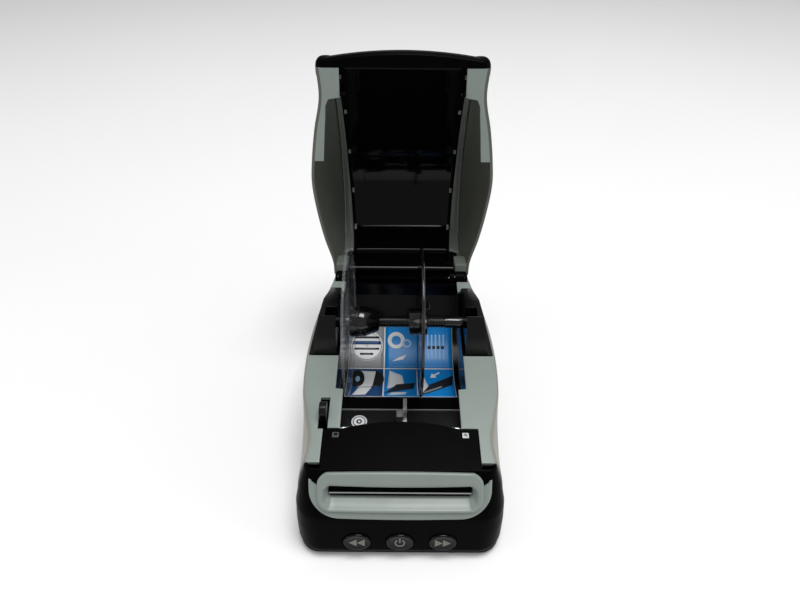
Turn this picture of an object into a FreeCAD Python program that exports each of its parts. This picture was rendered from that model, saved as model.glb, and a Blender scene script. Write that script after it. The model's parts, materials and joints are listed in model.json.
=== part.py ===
"""Desktop label printer with its roll lid open, one named solid or group of solids per real piece.

Frame: millimetres, +X to the right seen from the front, the label exit faces -Y, +Z up, the rubber
feet stand on Z = 0.  The rest pose has the lid leaning back on its stop.  The case is drawn about its
own middle, and FrameShiftY then brings the whole object, open lid included, over the origin.
"""
import FreeCAD, Part
import math
import os

from FreeCAD import Rotation, Vector

doc = FreeCAD.newDocument("LabelPrinter")

# ---------------------------------------------------------------- driving dimensions
DIMENSIONS = {
    "BodyHalfWidth": 63.5, "FrontReach": 95.0, "BackReach": 92.0, "WallThickness": 2.2,
    "FootHeight": 3.0, "TrayHeight": 22.0, "FloorThickness": 2.2,
    "PartingFrontY": -70.8, "PartingFrontZ": 60.6, "HingeY": 78.2, "HingeZ": 85.05,
    "LidLength": 151.0, "LidOpenAngle": 83.1, "RoofHalfWidth": 44.0, "RoofHeight": 69.0,
    "SpoolY": 21.6, "SpoolZ": 88.7, "FlangeRadius": 50.0, "FlangeThickness": 1.6,
    "SpindleRadius": 4.0, "SpindleEnd": 50.0, "WellRadius": 54.0, "WellHalfWidth": 41.5,
    "LeftFlangeX": -35.8, "RightFlangeX": 12.4,
    "FeedDeckZ": 40.0, "PlatenY": -64.0, "PlatenZ": 40.0, "PlatenRadius": 7.0, "PlatenHalfLength": 33.0,
    "MotorY": -38.0, "MotorZ": 21.5, "MotorRadius": 12.0, "GearModule": 0.8,
    "ButtonSpacing": 25.5, "ButtonHalfWidth": 8.2, "ButtonHalfHeight": 6.3, "ButtonDepth": 7.0,
    "HingeBarrelRadius": 4.0, "HingePinRadius": 1.5, "RunningGap": 0.06,
    "LeverX": -47.2, "LeverPivotY": -39.5, "LeverPivotZ": 52.0,
    "HeadPivotY": -46.0, "HeadPivotZ": 54.5, "GuideX": 2.8, "GuideThickness": 2.4,
    "FrameShiftY": -31.0, "FootRadius": 7.0, "ScrewRadius": 2.6, "BoardThickness": 1.6,
}
sheet = doc.addObject("Spreadsheet::Sheet", "Dimensions")
for row, (alias, size) in enumerate(DIMENSIONS.items(), start=1):
    sheet.set("A%d" % row, alias)
    sheet.set("B%d" % row, str(size))
    sheet.setAlias("B%d" % row, alias)
doc.recompute()


def size_of(alias):
    """Value of one cell of the sheet, in millimetres or degrees."""
    return float(sheet.get(alias))


WALL = size_of("WallThickness")
HINGE = (size_of("HingeY"), size_of("HingeZ"))
SPOOL = (size_of("SpoolY"), size_of("SpoolZ"))
PLATEN = (size_of("PlatenY"), size_of("PlatenZ"))
MOTOR = (size_of("MotorY"), size_of("MotorZ"))
WELL = size_of("WellHalfWidth")
TRAY_TOP = size_of("TrayHeight")
FLOOR_Z = size_of("FootHeight")
FRONT_Y = size_of("PartingFrontY")
DECK_THICKNESS = 2.4
NOSE_BACK_Y = -70.5
GAP = size_of("RunningGap")
sub_parts = {}


# ---------------------------------------------------------------- tools for making shapes
def interpolate(table, where):
    """Straight-line reading of a table of (position, value) pairs."""
    for (start, low), (end, high) in zip(table, table[1:]):
        if where <= end or (end, high) == table[-1]:
            return low + (high - low) * (where - start) / (end - start)
    return table[-1][1]


def register(name, obj):
    """Give a finished sub-part its label and list it for export."""
    obj.Label = name
    sub_parts[name] = obj
    return obj


def feature(name, shape):
    """A sub-part whose shape is worked out from the sheet in code."""
    obj = doc.addObject("Part::Feature", name)
    obj.Shape = shape
    return register(name, obj)


def outline(points):
    """Closed wire through points; a triple (middle, end) pair of vectors in a list makes an arc."""
    edges = []
    start = points[0]
    for item in list(points[1:]) + [points[0]]:
        if isinstance(item, tuple):
            middle, end = item
            edges.append(Part.Arc(start, middle, end).toShape())
        else:
            end = item
            if (end - start).Length > 1e-6:
                edges.append(Part.LineSegment(start, end).toShape())
        start = end
    return Part.Wire(edges)


def side_prism(profile, low_x, high_x):
    """Solid from a side profile of (y, z) points between two X stations."""
    points = [tuple(Vector(low_x, *pair) for pair in item) if isinstance(item[0], tuple)
              else Vector(low_x, *item) for item in profile]
    return Part.Face(outline(points)).extrude(Vector(high_x - low_x, 0, 0))


def box(low, high):
    """Axis-aligned block between two corners."""
    span = Vector(*high) - Vector(*low)
    return Part.makeBox(span.x, span.y, span.z, Vector(*low))


def rod(radius, centre, low_x, high_x):
    """Round bar along X about a (y, z) centre."""
    return Part.makeCylinder(radius, high_x - low_x, Vector(low_x, *centre), Vector(1, 0, 0))


def mirrored(shape):
    """The other hand of a shape, across the middle plane X = 0."""
    return shape.mirror(Vector(0, 0, 0), Vector(1, 0, 0))


def group(*shapes):
    """Several separate solids held by one sub-part."""
    solids = [solid for shape in shapes for solid in shape.Solids]
    return solids[0] if len(solids) == 1 else Part.makeCompound(solids)


def loft(sections):
    """Ruled solid through closed sections given as lists of vectors."""
    return Part.makeLoft([Part.makePolygon(points + [points[0]]) for points in sections], True, True)


def bound(type_name, name, **expressions):
    """A Part primitive whose sizes and place are bound to the sheet."""
    obj = doc.addObject(type_name, name)
    for prop, text in expressions.items():
        obj.setExpression(prop.replace("__", "."), text)
    return obj


def along_x(obj):
    """Turn a Part cylinder so that it runs along X, keeping its base point."""
    obj.Placement = FreeCAD.Placement(obj.Placement.Base, Rotation(Vector(0, 1, 0), 90))
    return obj


def origin_plane(body, role):
    return next(item for item in body.Origin.OriginFeatures if item.Role == role)


def padded_body(name, points, plane, length, offset, holes=()):
    """PartDesign body: one sketch of straight lines with round holes, padded off an origin plane."""
    body = doc.addObject("PartDesign::Body", name)
    sketch = body.newObject("Sketcher::SketchObject", name + "Sketch")
    sketch.AttachmentSupport = (origin_plane(body, plane), [""])
    sketch.MapMode = "FlatFace"
    sketch.AttachmentOffset = FreeCAD.Placement(Vector(0, 0, offset), Rotation())
    corners = [Vector(u, v, 0) for u, v in points]
    for first, second in zip(corners, corners[1:] + corners[:1]):
        sketch.addGeometry(Part.LineSegment(first, second), False)
    for u, v, radius in holes:
        sketch.addGeometry(Part.Circle(Vector(u, v, 0), Vector(0, 0, 1), radius), False)
    pad = body.newObject("PartDesign::Pad", name + "Pad")
    pad.Profile = sketch
    pad.setExpression("Length", length)
    body.Tip = pad
    return register(name, body)


# ---------------------------------------------------------------- the line where lid and base meet
SLOPE = (HINGE[1] - size_of("PartingFrontZ")) / (HINGE[0] - FRONT_Y)


def parting_z(y):
    """Height of the line where the lid closes on the base."""
    return size_of("PartingFrontZ") + (y - FRONT_Y) * SLOPE


# Half-width of the deck's outer edge, and of the case's flank where it meets the tray, along Y.
SEAM = [(-71.0, 54.8), (-55.0, 53.5), (-38.0, 57.5), (-21.0, 61.3), (5.6, 62.2), (35.0, 59.4),
        (67.0, 52.5), (92.0, 48.5)]
FLANK = [(-95.0, 61.5), (-71.0, 62.6), (-40.0, 63.3), (5.6, 63.5), (35.0, 62.6), (67.0, 59.5), (92.0, 55.0)]
SKIN = 1.2
BACK_Y = size_of("BackReach")

# ---------------------------------------------------------------- case: tray, flanks, back and nose


def plan(front, back, half, radius, height):
    """Case outline at one height: straight back edge and round front corners of short facets."""
    corner = [(half - radius + radius * math.cos(math.radians(angle)),
               front + radius - radius * math.sin(math.radians(angle))) for angle in (0, 22.5, 45, 67.5, 90)]
    right_side = [(half, back)] + corner
    left_side = [(-x, y) for x, y in right_side[::-1]]
    return [Vector(x, y, height) for x, y in right_side + left_side]


def nose_wall():
    """The wall that wraps round the front end of the case, open at the back and below."""
    stations = [(FLOOR_Z + WALL, -93.6, 61.3, 13.0), (8.0, -95.0, 62.4, 14.0), (34.0, -89.5, 61.8, 12.0),
                (60.2, -75.2, 55.2, 4.4)]
    sections = []
    for height, front, half, corner in stations:
        outer = plan(front, NOSE_BACK_Y, half, corner, height)
        inner = plan(front + WALL, NOSE_BACK_Y, half - WALL, corner - WALL, height)
        sections.append(outer + inner[::-1])
    return loft(sections)


tray_floor = Part.Face(outline([
    Vector(-55, BACK_Y - 1, FLOOR_Z), Vector(55, BACK_Y - 1, FLOOR_Z), Vector(62.4, 5, FLOOR_Z),
    Vector(61.3, -80.6, FLOOR_Z), (Vector(57.5, -89.8, FLOOR_Z), Vector(48.3, -93.6, FLOOR_Z)),
    Vector(-48.3, -93.6, FLOOR_Z), (Vector(-57.5, -89.8, FLOOR_Z), Vector(-61.3, -80.6, FLOOR_Z)),
    Vector(-62.4, 5, FLOOR_Z)])).extrude(Vector(0, 0, WALL))
rim_stations = [NOSE_BACK_Y, -40.0, 5.6, 35.0, 67.0, BACK_Y - 0.2]
rim_side = loft([[Vector(interpolate(FLANK, y) - 1.1, y, FLOOR_Z + WALL), Vector(interpolate(FLANK, y), y, TRAY_TOP),
                  Vector(interpolate(FLANK, y) - WALL, y, TRAY_TOP),
                  Vector(interpolate(FLANK, y) - 1.1 - WALL, y, FLOOR_Z + WALL)] for y in rim_stations])
tray_shape = tray_floor.fuse([rim_side, mirrored(rim_side)])
# Four vertical bosses that take the case screws.
BOSSES = [(x, y) for x in (-50.4, 50.4) for y in (-58.0, 74.0)]
for boss_x, boss_y in BOSSES:
    tray_shape = tray_shape.fuse(Part.makeCylinder(4.2, 14.0, Vector(boss_x, boss_y, FLOOR_Z + WALL)))
    tray_shape = tray_shape.cut(Part.makeCylinder(size_of("ScrewRadius") + 0.2, 16.0,
                                                  Vector(boss_x, boss_y, FLOOR_Z)))
feature("base_tray", tray_shape.removeSplitter())

flank_stations = [NOSE_BACK_Y, -55.0, -38.0, -21.0, 5.6, 35.0, 67.0, BACK_Y - 3.2]
shell_sections = []
for y in flank_stations:
    top_z = min(parting_z(y), 82.5)
    foot = interpolate(FLANK, y)
    brow = interpolate(SEAM, y) + SKIN
    belly = foot - 0.25 * (foot - brow)
    middle_z = TRAY_TOP + 0.55 * (top_z - TRAY_TOP)
    shell_sections.append([Vector(foot, y, TRAY_TOP), Vector(belly, y, middle_z), Vector(brow, y, top_z),
                           Vector(brow - 1.1, y, top_z), Vector(belly - WALL, y, middle_z - 1),
                           Vector(foot - WALL, y, TRAY_TOP)])
side_shell = loft(shell_sections)
feature("side_shell_right", side_shell)
feature("side_shell_left", mirrored(side_shell))

# Back wall: vertical, rounded forwards at the top, stopping short of the hinge gap.
rear_profile = [(BACK_Y, FLOOR_Z + WALL), (BACK_Y, 66), (BACK_Y - 1.5, 74), (BACK_Y - 7, 79.5), (83.2, 79.5),
                (83.2, 77.3), (BACK_Y - 8, 77.3), (BACK_Y - 3.6, 73), (BACK_Y - WALL, 66),
                (BACK_Y - WALL, FLOOR_Z + WALL)]
rear_shape = side_prism(rear_profile, -55.0, 55.0)
JACK = (30.0, 17.0)
USB = (8.0, 16.2)
rear_shape = rear_shape.cut(Part.makeCylinder(4.6, 8, Vector(JACK[0], BACK_Y - 5, JACK[1]), Vector(0, 1, 0)))
rear_shape = rear_shape.cut(box((USB[0] - 6.4, BACK_Y - 5, USB[1] - 5.8), (USB[0] + 6.4, BACK_Y + 1, USB[1] + 5.8)))
taper = Part.makePolygon([Vector(-54.4, 70, FLOOR_Z), Vector(54.4, 70, FLOOR_Z), Vector(48.8, 70, 80),
                          Vector(-48.8, 70, 80), Vector(-54.4, 70, FLOOR_Z)])
rear_shape = rear_shape.common(Part.Face(taper).extrude(Vector(0, 30, 0)))
rear_shape = rear_shape.cut(tray_shape)
feature("rear_panel", rear_shape)

# ---------------------------------------------------------------- nose, exit bezel and tear bar
SLOPE_TOP = (-75.2, 60.2)
SLOPE_FOOT = (-89.5, 34.0)
slope_length = math.dist(SLOPE_TOP, SLOPE_FOOT)
slope_down = ((SLOPE_FOOT[0] - SLOPE_TOP[0]) / slope_length, (SLOPE_FOOT[1] - SLOPE_TOP[1]) / slope_length)
slope_out = (slope_down[1], -slope_down[0])


def on_slope(x, down, out):
    """Point on the sloping exit face: across, down the slope, and out of the face."""
    return Vector(x, SLOPE_TOP[0] + slope_down[0] * down + slope_out[0] * out,
                  SLOPE_TOP[1] + slope_down[1] * down + slope_out[1] * out)


def slope_plate(half_width, top, foot, radius, low, high):
    """Rounded plate lying in the exit face between two depths."""
    bend = radius * (1 - math.sqrt(0.5))
    corners = [on_slope(radius - half_width, top, low), on_slope(half_width - radius, top, low),
               (on_slope(half_width - bend, top + bend, low), on_slope(half_width, top + radius, low)),
               on_slope(half_width, foot - radius, low),
               (on_slope(half_width - bend, foot - bend, low), on_slope(half_width - radius, foot, low)),
               on_slope(radius - half_width, foot, low),
               (on_slope(bend - half_width, foot - bend, low), on_slope(-half_width, foot - radius, low)),
               on_slope(-half_width, top + radius, low)]
    face = Part.Face(outline(corners))
    return face.extrude(on_slope(0, 0, high) - on_slope(0, 0, low))


BEZEL_HALF = 48.5
SLOT_HALF = 42.0
BUTTON_TILT = math.degrees(math.atan2(5.5, 26.0))
BUTTON_CENTRE = Vector(0, -93.4, 15.2)


def button_plug(x, grow, depth, proud):
    """Oval plug square to the tilted front face."""
    half_w = size_of("ButtonHalfWidth") + grow
    half_h = size_of("ButtonHalfHeight") + grow
    ellipse = Part.Ellipse(Vector(0, 0, 0), half_w, half_h).toShape()
    plug = Part.Face(Part.Wire(ellipse)).extrude(Vector(0, 0, depth))
    plug.rotate(Vector(0, 0, 0), Vector(1, 0, 0), 90 - BUTTON_TILT)
    outward = Rotation(Vector(1, 0, 0), 90 - BUTTON_TILT).multVec(Vector(0, 0, 1))
    plug.translate(BUTTON_CENTRE + Vector(x, 0, 0) + outward * (proud - depth))
    return plug, outward


nose_shape = nose_wall()
nose_shape = nose_shape.cut(slope_plate(BEZEL_HALF - 1.5, 3.0, 24.5, 8.0, -6, 6))
nose_shape = nose_shape.cut(box((-47.2, NOSE_BACK_Y - 5.5, 54), (47.2, NOSE_BACK_Y + 1, 64)))
BUTTON_NAMES = ("feed_back_button", "power_button", "feed_forward_button")
for number, button_name in enumerate(BUTTON_NAMES):
    button_x = (number - 1) * size_of("ButtonSpacing")
    hole, outward = button_plug(button_x, 0.35, 16.0, 6.0)
    nose_shape = nose_shape.cut(hole)
    button, outward = button_plug(button_x, 0.0, size_of("ButtonDepth"), 0.8)
    feature(button_name, button)
feature("front_nose", nose_shape)

bezel_shape = slope_plate(BEZEL_HALF, 0.6, 25.5, 10.0, 0.1, 2.2)
bezel_shape = bezel_shape.fuse(slope_plate(53.0, 7.0, 29.6, 11.0, 0.1, 1.1))
bezel_shape = bezel_shape.fuse(slope_plate(BEZEL_HALF - 1.9, 3.4, 24.1, 7.6, -3.0, 0.2))
bezel_shape = bezel_shape.cut(slope_plate(44.5, 8.8, 22.2, 5.0, -1.4, 4))
bezel_shape = bezel_shape.cut(slope_plate(SLOT_HALF, 10.8, 14.8, 1.9, -8, 4))
feature("exit_bezel", bezel_shape)
tear_shape = slope_plate(SLOT_HALF - 1.6, 14.0, 14.7, 0.3, -4.2, -1.4)
feature("tear_bar", tear_shape)

# ---------------------------------------------------------------- top: cover, decks and well
COVER_HALF = 46.5
cover_wire = [Vector(-COVER_HALF, -74.6, 0), Vector(COVER_HALF, -74.6, 0), Vector(COVER_HALF, -49.0, 0),
              Vector(36.4, -49.0, 0), (Vector(0, -43.7, 0), Vector(-36.4, -49.0, 0)), Vector(-COVER_HALF, -49.0, 0)]
cover = Part.Face(outline(cover_wire)).extrude(Vector(0, 0, -DECK_THICKNESS))
SOCKET_X = 39.0
SOCKET_Y = -52.4
for sign in (-1, 1):
    cover = cover.cut(box((sign * SOCKET_X - 1.9, SOCKET_Y - 1.9, -4), (sign * SOCKET_X + 1.9, SOCKET_Y + 1.9, 1)))
parting_tilt = math.degrees(math.atan(SLOPE))


def laid_on_parting(shape):
    """Carry a shape drawn flat at Z = 0 up onto the sloping parting plane."""
    moved = shape.copy()
    moved.translate(Vector(0, -FRONT_Y, 0))
    moved.rotate(Vector(0, 0, 0), Vector(1, 0, 0), parting_tilt)
    moved.translate(Vector(0, FRONT_Y, size_of("PartingFrontZ")))
    return moved


feature("front_cover", laid_on_parting(cover))
socket_shapes = []
for sign in (-1, 1):
    cup = box((sign * SOCKET_X - 1.8, SOCKET_Y - 1.8, -5.6), (sign * SOCKET_X + 1.8, SOCKET_Y + 1.8, -0.3))
    cup = cup.cut(box((sign * SOCKET_X - 1.1, SOCKET_Y - 1.1, -4.6), (sign * SOCKET_X + 1.1, SOCKET_Y + 1.1, 1)))
    socket_shapes.append(laid_on_parting(cup))
feature("latch_sockets", group(*socket_shapes))

# Inner edge of the grey deck: beside the cover, beside the feed bed, beside the roll well.
deck_blocks = [(NOSE_BACK_Y, -48.6, 46.9), (-48.6, -21.0, 36.8), (-21.0, 4.9, 41.7)]
deck_shape = None
for start, end, inner in deck_blocks:
    stations = [start] + [y for y, _ in SEAM if start < y < end] + [end]
    block = loft([[Vector(inner, y, parting_z(y)), Vector(interpolate(SEAM, y), y, parting_z(y)),
                   Vector(interpolate(SEAM, y), y, parting_z(y) - DECK_THICKNESS),
                   Vector(inner, y, parting_z(y) - DECK_THICKNESS)] for y in stations])
    deck_shape = block if deck_shape is None else deck_shape.fuse(block)
deck_shape = deck_shape.removeSplitter()
LEVER_SLOT = (-49.0, -27.5)
slot_cut = box((-size_of("LeverX") - 3.2, LEVER_SLOT[0], 50), (-size_of("LeverX") + 3.2, LEVER_SLOT[1], 80))
feature("side_deck_right", deck_shape)
feature("side_deck_left", mirrored(deck_shape.cut(slot_cut)))

rear_stations = [63.5, 67.0, 73.6]
rear_block = loft([[Vector(41.7, y, parting_z(y)), Vector(interpolate(SEAM, y), y, parting_z(y)),
                    Vector(interpolate(SEAM, y), y, parting_z(y) - DECK_THICKNESS),
                    Vector(41.7, y, parting_z(y) - DECK_THICKNESS)] for y in rear_stations])
feature("rear_deck", group(rear_block, mirrored(rear_block)))

# Roll well: a trough about the spool with side walls, and a step in front of it.
radius = size_of("WellRadius")


def around_spool(distance, degrees):
    """Point at a distance and an angle from the spool's axis, in the side view."""
    angle = math.radians(degrees)
    return (SPOOL[0] + distance * math.cos(angle), SPOOL[1] + distance * math.sin(angle))


STEP_ANGLE = 242.0
REAR_ANGLE = 342.0
step_point = around_spool(radius, STEP_ANGLE)
trough = side_prism([
    step_point, (around_spool(radius, 290.0), around_spool(radius, REAR_ANGLE)), (73.0, 82.0), (74.8, 82.0),
    around_spool(radius + 2, REAR_ANGLE), (around_spool(radius + 2, 290.0), around_spool(radius + 2, STEP_ANGLE)),
    (-13.8, 36.4), (-13.8, 41.2), (-11.0, 41.2)], -WELL - 1.6, WELL + 1.6)
well_wall = side_prism([(-20.8, 35.8), step_point, (around_spool(radius + 1, 280.0), around_spool(radius + 1, 330.0)),
                        (73.6, 78), (73.6, parting_z(73.6) - 2.5), (-20.8, parting_z(-20.8) - 2.5)], WELL, WELL + 1.6)
well_shape = trough.fuse([well_wall, mirrored(well_wall)]).removeSplitter()
feature("roll_well", well_shape)
sticker = side_prism([around_spool(radius - 0.05, 244.0),
                      (around_spool(radius - 0.05, 285.0), around_spool(radius - 0.05, 322.0)),
                      around_spool(radius - 0.3, 322.0),
                      (around_spool(radius - 0.3, 285.0), around_spool(radius - 0.3, 244.0))], -39.6, 39.6)
feature("instruction_sticker", sticker)

# ---------------------------------------------------------------- spool cradles on each side of the well
hump = [(6.0, 71.0), (6.0, 76.5), (10.5, 90.0), (17.0, 97.5), (33.0, 98.5), (52.0, 94.5), (63.2, 84.5),
        (63.2, 71.0)]
CRADLE_X = WELL + 1.7
hump_block = side_prism(hump, CRADLE_X, size_of("BodyHalfWidth"))
SHOULDER_Z = 100.0
CRADLE_ENDS = (4.0, 35.0, 67.0)
shoulder_block = loft([[Vector(WELL - 1, y, 66), Vector(interpolate(SEAM, y) - 3.9, y, 66),
                        Vector(interpolate(SEAM, y) - 3.9, y, parting_z(y) + 1.5),
                        Vector(interpolate(SEAM, y) - 6.6, y, SHOULDER_Z), Vector(WELL - 1, y, SHOULDER_Z)]
                       for y in CRADLE_ENDS])
skirt_block = loft([[Vector(WELL - 1, y, 66), Vector(interpolate(SEAM, y) - 0.2, y, 66),
                     Vector(interpolate(SEAM, y) - 0.2, y, parting_z(y)), Vector(WELL - 1, y, parting_z(y))]
                    for y in CRADLE_ENDS])
cradle = hump_block.common(shoulder_block.fuse(skirt_block)).removeSplitter()
SLOT_GAP = size_of("SpindleRadius") + 0.35
slot_floor = rod(SLOT_GAP, SPOOL, WELL, size_of("SpindleEnd") + 0.5)
slot_way = box((WELL, SPOOL[0] - SLOT_GAP, SPOOL[1]), (size_of("SpindleEnd") + 0.5, SPOOL[0] + SLOT_GAP, 110))
cradle = cradle.cut(slot_floor.fuse(slot_way))
feature("cradle_right", cradle)
feature("cradle_left", mirrored(cradle))

# ---------------------------------------------------------------- hinge
BARREL = size_of("HingeBarrelRadius")
BARREL_SPAN = (40.4, 47.6)
lugs = []
for low, high in ((36.6, 40.0), (48.0, 49.8)):
    lug = side_prism([(HINGE[0] - 3.2, 72.0), (HINGE[0] - 3.2, HINGE[1]),
                      ((HINGE[0], HINGE[1] + 3.6), (HINGE[0] + 3.6, HINGE[1])), (HINGE[0] + 3.6, 72.0)], low, high)
    lug = lug.cut(rod(size_of("HingePinRadius"), HINGE, low - 1, high + 1))
    lugs += [lug, mirrored(lug)]
hinge_beam = box((-49.8, HINGE[0] - 2.0, 70.0), (49.8, HINGE[0] + 3.6, 72.0))
feature("hinge_brackets", hinge_beam.fuse(lugs).removeSplitter())
pins = []
for number, sign in enumerate((-1, 1)):
    pin = rod(size_of("HingePinRadius"), HINGE, 36.6, 50.2)
    pins.append(pin if sign > 0 else mirrored(pin))
feature("hinge_pins", group(*pins))

# ---------------------------------------------------------------- lid, drawn in its own chord frame
OPEN = math.radians(size_of("LidOpenAngle"))
along = (math.cos(OPEN), math.sin(OPEN))
upward = (math.sin(OPEN), -math.cos(OPEN))


def lid_point(x, chord, height):
    """Point of the open lid: across, along its rim from the hinge, and out from the rim plane."""
    return Vector(x, HINGE[0] + along[0] * chord + upward[0] * height,
                  HINGE[1] + along[1] * chord + upward[1] * height)


RIM_HALF = [(2.0, 50.6), (13.0, 51.2), (31.0, 56.1), (50.6, 59.9), (72.8, 62.4), (89.0, 61.3), (110.0, 58.1),
            (131.0, 53.7), (151.0, 54.9)]
ROOF = [(2.0, 7.0), (5.0, 33.0), (8.5, 43.0), (13.0, 52.0), (31.0, 66.0), (50.6, 72.6), (72.8, 71.2), (89.0, 65.6),
        (110.0, 53.0), (131.0, 35.0), (148.0, 16.0)]
CAP_HEIGHT = 15.0
ROOF_HALF = size_of("RoofHalfWidth")
EDGE = 0.965
ROOF_WALL = 2.0
lid_stations = [2.0, 5.0, 8.5, 13.0, 31.0, 50.6, 72.8, 89.0, 110.0, 131.0, 148.0]


def crown(chord):
    return interpolate(ROOF, chord)


def roof_drop(chord):
    """Height that the roof's wall takes at one place, more where the roof is steep."""
    rise = (crown(chord + 1.0) - crown(chord - 1.0)) / 2 if chord > lid_stations[0] else 6.0
    return ROOF_WALL * math.sqrt(1 + rise * rise)


def wing_points(chord, inset):
    """Cross-section of one wing from rim to roof edge, set in by a thickness."""
    half = interpolate(RIM_HALF, chord)
    tall = crown(chord)
    lean = half - ROOF_HALF
    return [(half - inset, 0.3), (half - 0.06 * lean - inset, 0.34 * tall),
            (half - 0.42 * lean - inset, 0.68 * tall), (ROOF_HALF + 0.15, EDGE * tall - 0.9 * inset)]


wing = loft([[lid_point(x, c, height) for x, height in wing_points(c, 0.0) + wing_points(c, 2.0)[::-1]]
             for c in lid_stations[1:]])
feature("lid_wing_right", wing)
feature("lid_wing_left", mirrored(wing))
roof_sections = []
for c in lid_stations:
    tall = crown(c)
    drop = roof_drop(c)
    over = [(-ROOF_HALF, EDGE * tall), (-26, 0.99 * tall), (0, tall), (26, 0.99 * tall), (ROOF_HALF, EDGE * tall)]
    under = [(x, max(height - drop, 4.4)) for x, height in over[::-1]]
    roof_sections.append([lid_point(x, c, height) for x, height in over + under])
feature("lid_roof", loft(roof_sections))

# Gloss-black inner liner, nearly parallel to the roof, narrower at the hinge.
LINER_HALF = [(6.0, 37.0), (31.0, 39.5), (72.8, 42.0), (148.0, 42.4)]
liner_stations = [6.5, 8.5, 13.0, 22.0, 31.0, 50.6, 72.8, 89.0, 110.0, 131.0, 146.0]
LINER_GAP = 0.6


ROOF_UNDERSIDE = [(c, EDGE * crown(c) - roof_drop(c)) for c in lid_stations]


def liner_height(chord):
    """Height of the liner's upper face at its edges, just under the roof."""
    return interpolate(ROOF_UNDERSIDE, chord) - LINER_GAP


liner_sections = []
for c in liner_stations:
    half = interpolate(LINER_HALF, c)
    depth = liner_height(c)
    liner_sections.append([lid_point(x, c, height) for x, height in
                           ((-half, depth), (0, depth + 0.6), (half, depth), (half, depth - 1.4),
                            (0, depth - 0.8), (-half, depth - 1.4))])
feature("lid_liner", loft(liner_sections))


def lid_prism(profile, low_x, high_x):
    """Solid of the lid from (chord, height) points between two X stations."""
    return Part.Face(outline([lid_point(low_x, c, height) for c, height in profile])).extrude(
        Vector(high_x - low_x, 0, 0))


cap = lid_prism([(148.2, 0.6), (151.6, 0.6), (153.0, 5.0), (152.6, 11.0), (150.0, 15.4), (148.2, 16.2)], -52.5, 52.5)
feature("lid_front_cap", cap)
STRIP_INNER = [(89.0, 53.2), (110.0, 51.3), (120.0, 50.2), (125.0, 49.9), (129.3, 47.8), (130.2, 40.4), (148.0, 40.2)]
strip_sections = []
for c, inner in STRIP_INNER:
    outer = interpolate(RIM_HALF, c) - 2.4
    strip_sections.append([lid_point(x, c, height) for x, height in
                           ((outer, 0.3), (inner, 0.3), (inner, 2.4), (outer, 2.4))])
strip = loft(strip_sections)
feature("lid_edge_strips", group(strip, mirrored(strip)))
clips = []
for c in (20.0, 46.0, 78.0, 112.0, 128.0, 140.0):
    half = interpolate(LINER_HALF, c)
    low, high = liner_height(c - 1.6), liner_height(c + 1.6)
    clip = lid_prism([(c - 1.6, low - 3.2), (c + 1.6, high - 3.2), (c + 1.6, high - 1.6), (c - 1.6, low - 1.6)],
                     half - 1.8, half - 0.1)
    clips += [clip, mirrored(clip)]
feature("liner_clips", group(*clips))
barrel = rod(BARREL, HINGE, *BARREL_SPAN)
barrel = barrel.fuse(lid_prism([(3.4, 0.4), (3.4, 11.5), (4.0, 14.6), (9.0, 14.6), (9.0, 0.4)], *BARREL_SPAN))
barrel = barrel.fuse(lid_prism([(1.0, 1.0), (1.0, 3.8), (4.0, 3.8), (4.0, 1.0)], *BARREL_SPAN))
barrel = barrel.cut(rod(size_of("HingePinRadius") + GAP, HINGE, 30, 60))
feature("lid_hinge_barrels", group(barrel.removeSplitter(), mirrored(barrel.removeSplitter())))
HOOK_CHORD = (HINGE[0] - FRONT_Y) / math.cos(math.radians(parting_tilt)) - (SOCKET_Y - FRONT_Y)
hook = lid_prism([(HOOK_CHORD - 0.9, -2.6), (HOOK_CHORD + 0.9, -2.6), (HOOK_CHORD + 0.9, 6.0),
                  (HOOK_CHORD + 8.0, 12.0), (HOOK_CHORD + 8.0, 14.5), (HOOK_CHORD - 0.9, 8.0)],
                 SOCKET_X - 0.9, SOCKET_X + 0.9)
hook_arm = lid_prism([(HOOK_CHORD + 5.0, 9.0), (HOOK_CHORD + 8.0, 12.0), (HOOK_CHORD + 15.4, 12.0),
                      (HOOK_CHORD + 15.4, 9.0)], SOCKET_X - 0.9, SOCKET_X + 0.9)
hook = hook.fuse(hook_arm).removeSplitter()
feature("lid_latch_hooks", group(hook, mirrored(hook)))

# ---------------------------------------------------------------- spool: spindle, hub and flanges
SPINDLE = size_of("SpindleRadius")
spindle = along_x(bound("Part::Cylinder", "SpindleBlank", Radius="Dimensions.SpindleRadius",
                        Height="2 * Dimensions.SpindleEnd"))
spindle.Placement = FreeCAD.Placement(Vector(-size_of("SpindleEnd"), *SPOOL), Rotation(Vector(0, 1, 0), 90))
grooves = []
for number in range(26):
    groove_x = -18.0 + number * 1.85
    ring = rod(SPINDLE + 1, SPOOL, groove_x, groove_x + 0.8).cut(rod(SPINDLE - 0.7, SPOOL, groove_x - 1, groove_x + 2))
    grooves.append(ring)
groove_set = doc.addObject("Part::Feature", "SpindleGrooves")
groove_set.Shape = Part.makeCompound(grooves)
spindle_cut = doc.addObject("Part::Cut", "spool_spindle")
spindle_cut.Base = spindle
spindle_cut.Tool = groove_set
register("spool_spindle", spindle_cut)
LEFT_FLANGE = size_of("LeftFlangeX")
FLANGE = size_of("FlangeThickness")
hub = rod(10.2, SPOOL, LEFT_FLANGE + FLANGE, LEFT_FLANGE + 12.0)
hub = hub.fuse(Part.makeCone(10.2, 6.0, 9.0, Vector(LEFT_FLANGE + 12.0, *SPOOL), Vector(1, 0, 0)))
hub = hub.cut(rod(SPINDLE, SPOOL, -60, 60))
feature("spool_hub", hub)
left_flange = rod(size_of("FlangeRadius"), SPOOL, LEFT_FLANGE, LEFT_FLANGE + FLANGE)
feature("spool_flange_left", left_flange.cut(rod(SPINDLE, SPOOL, -60, 60)))
RIGHT_FLANGE = size_of("RightFlangeX")
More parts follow.
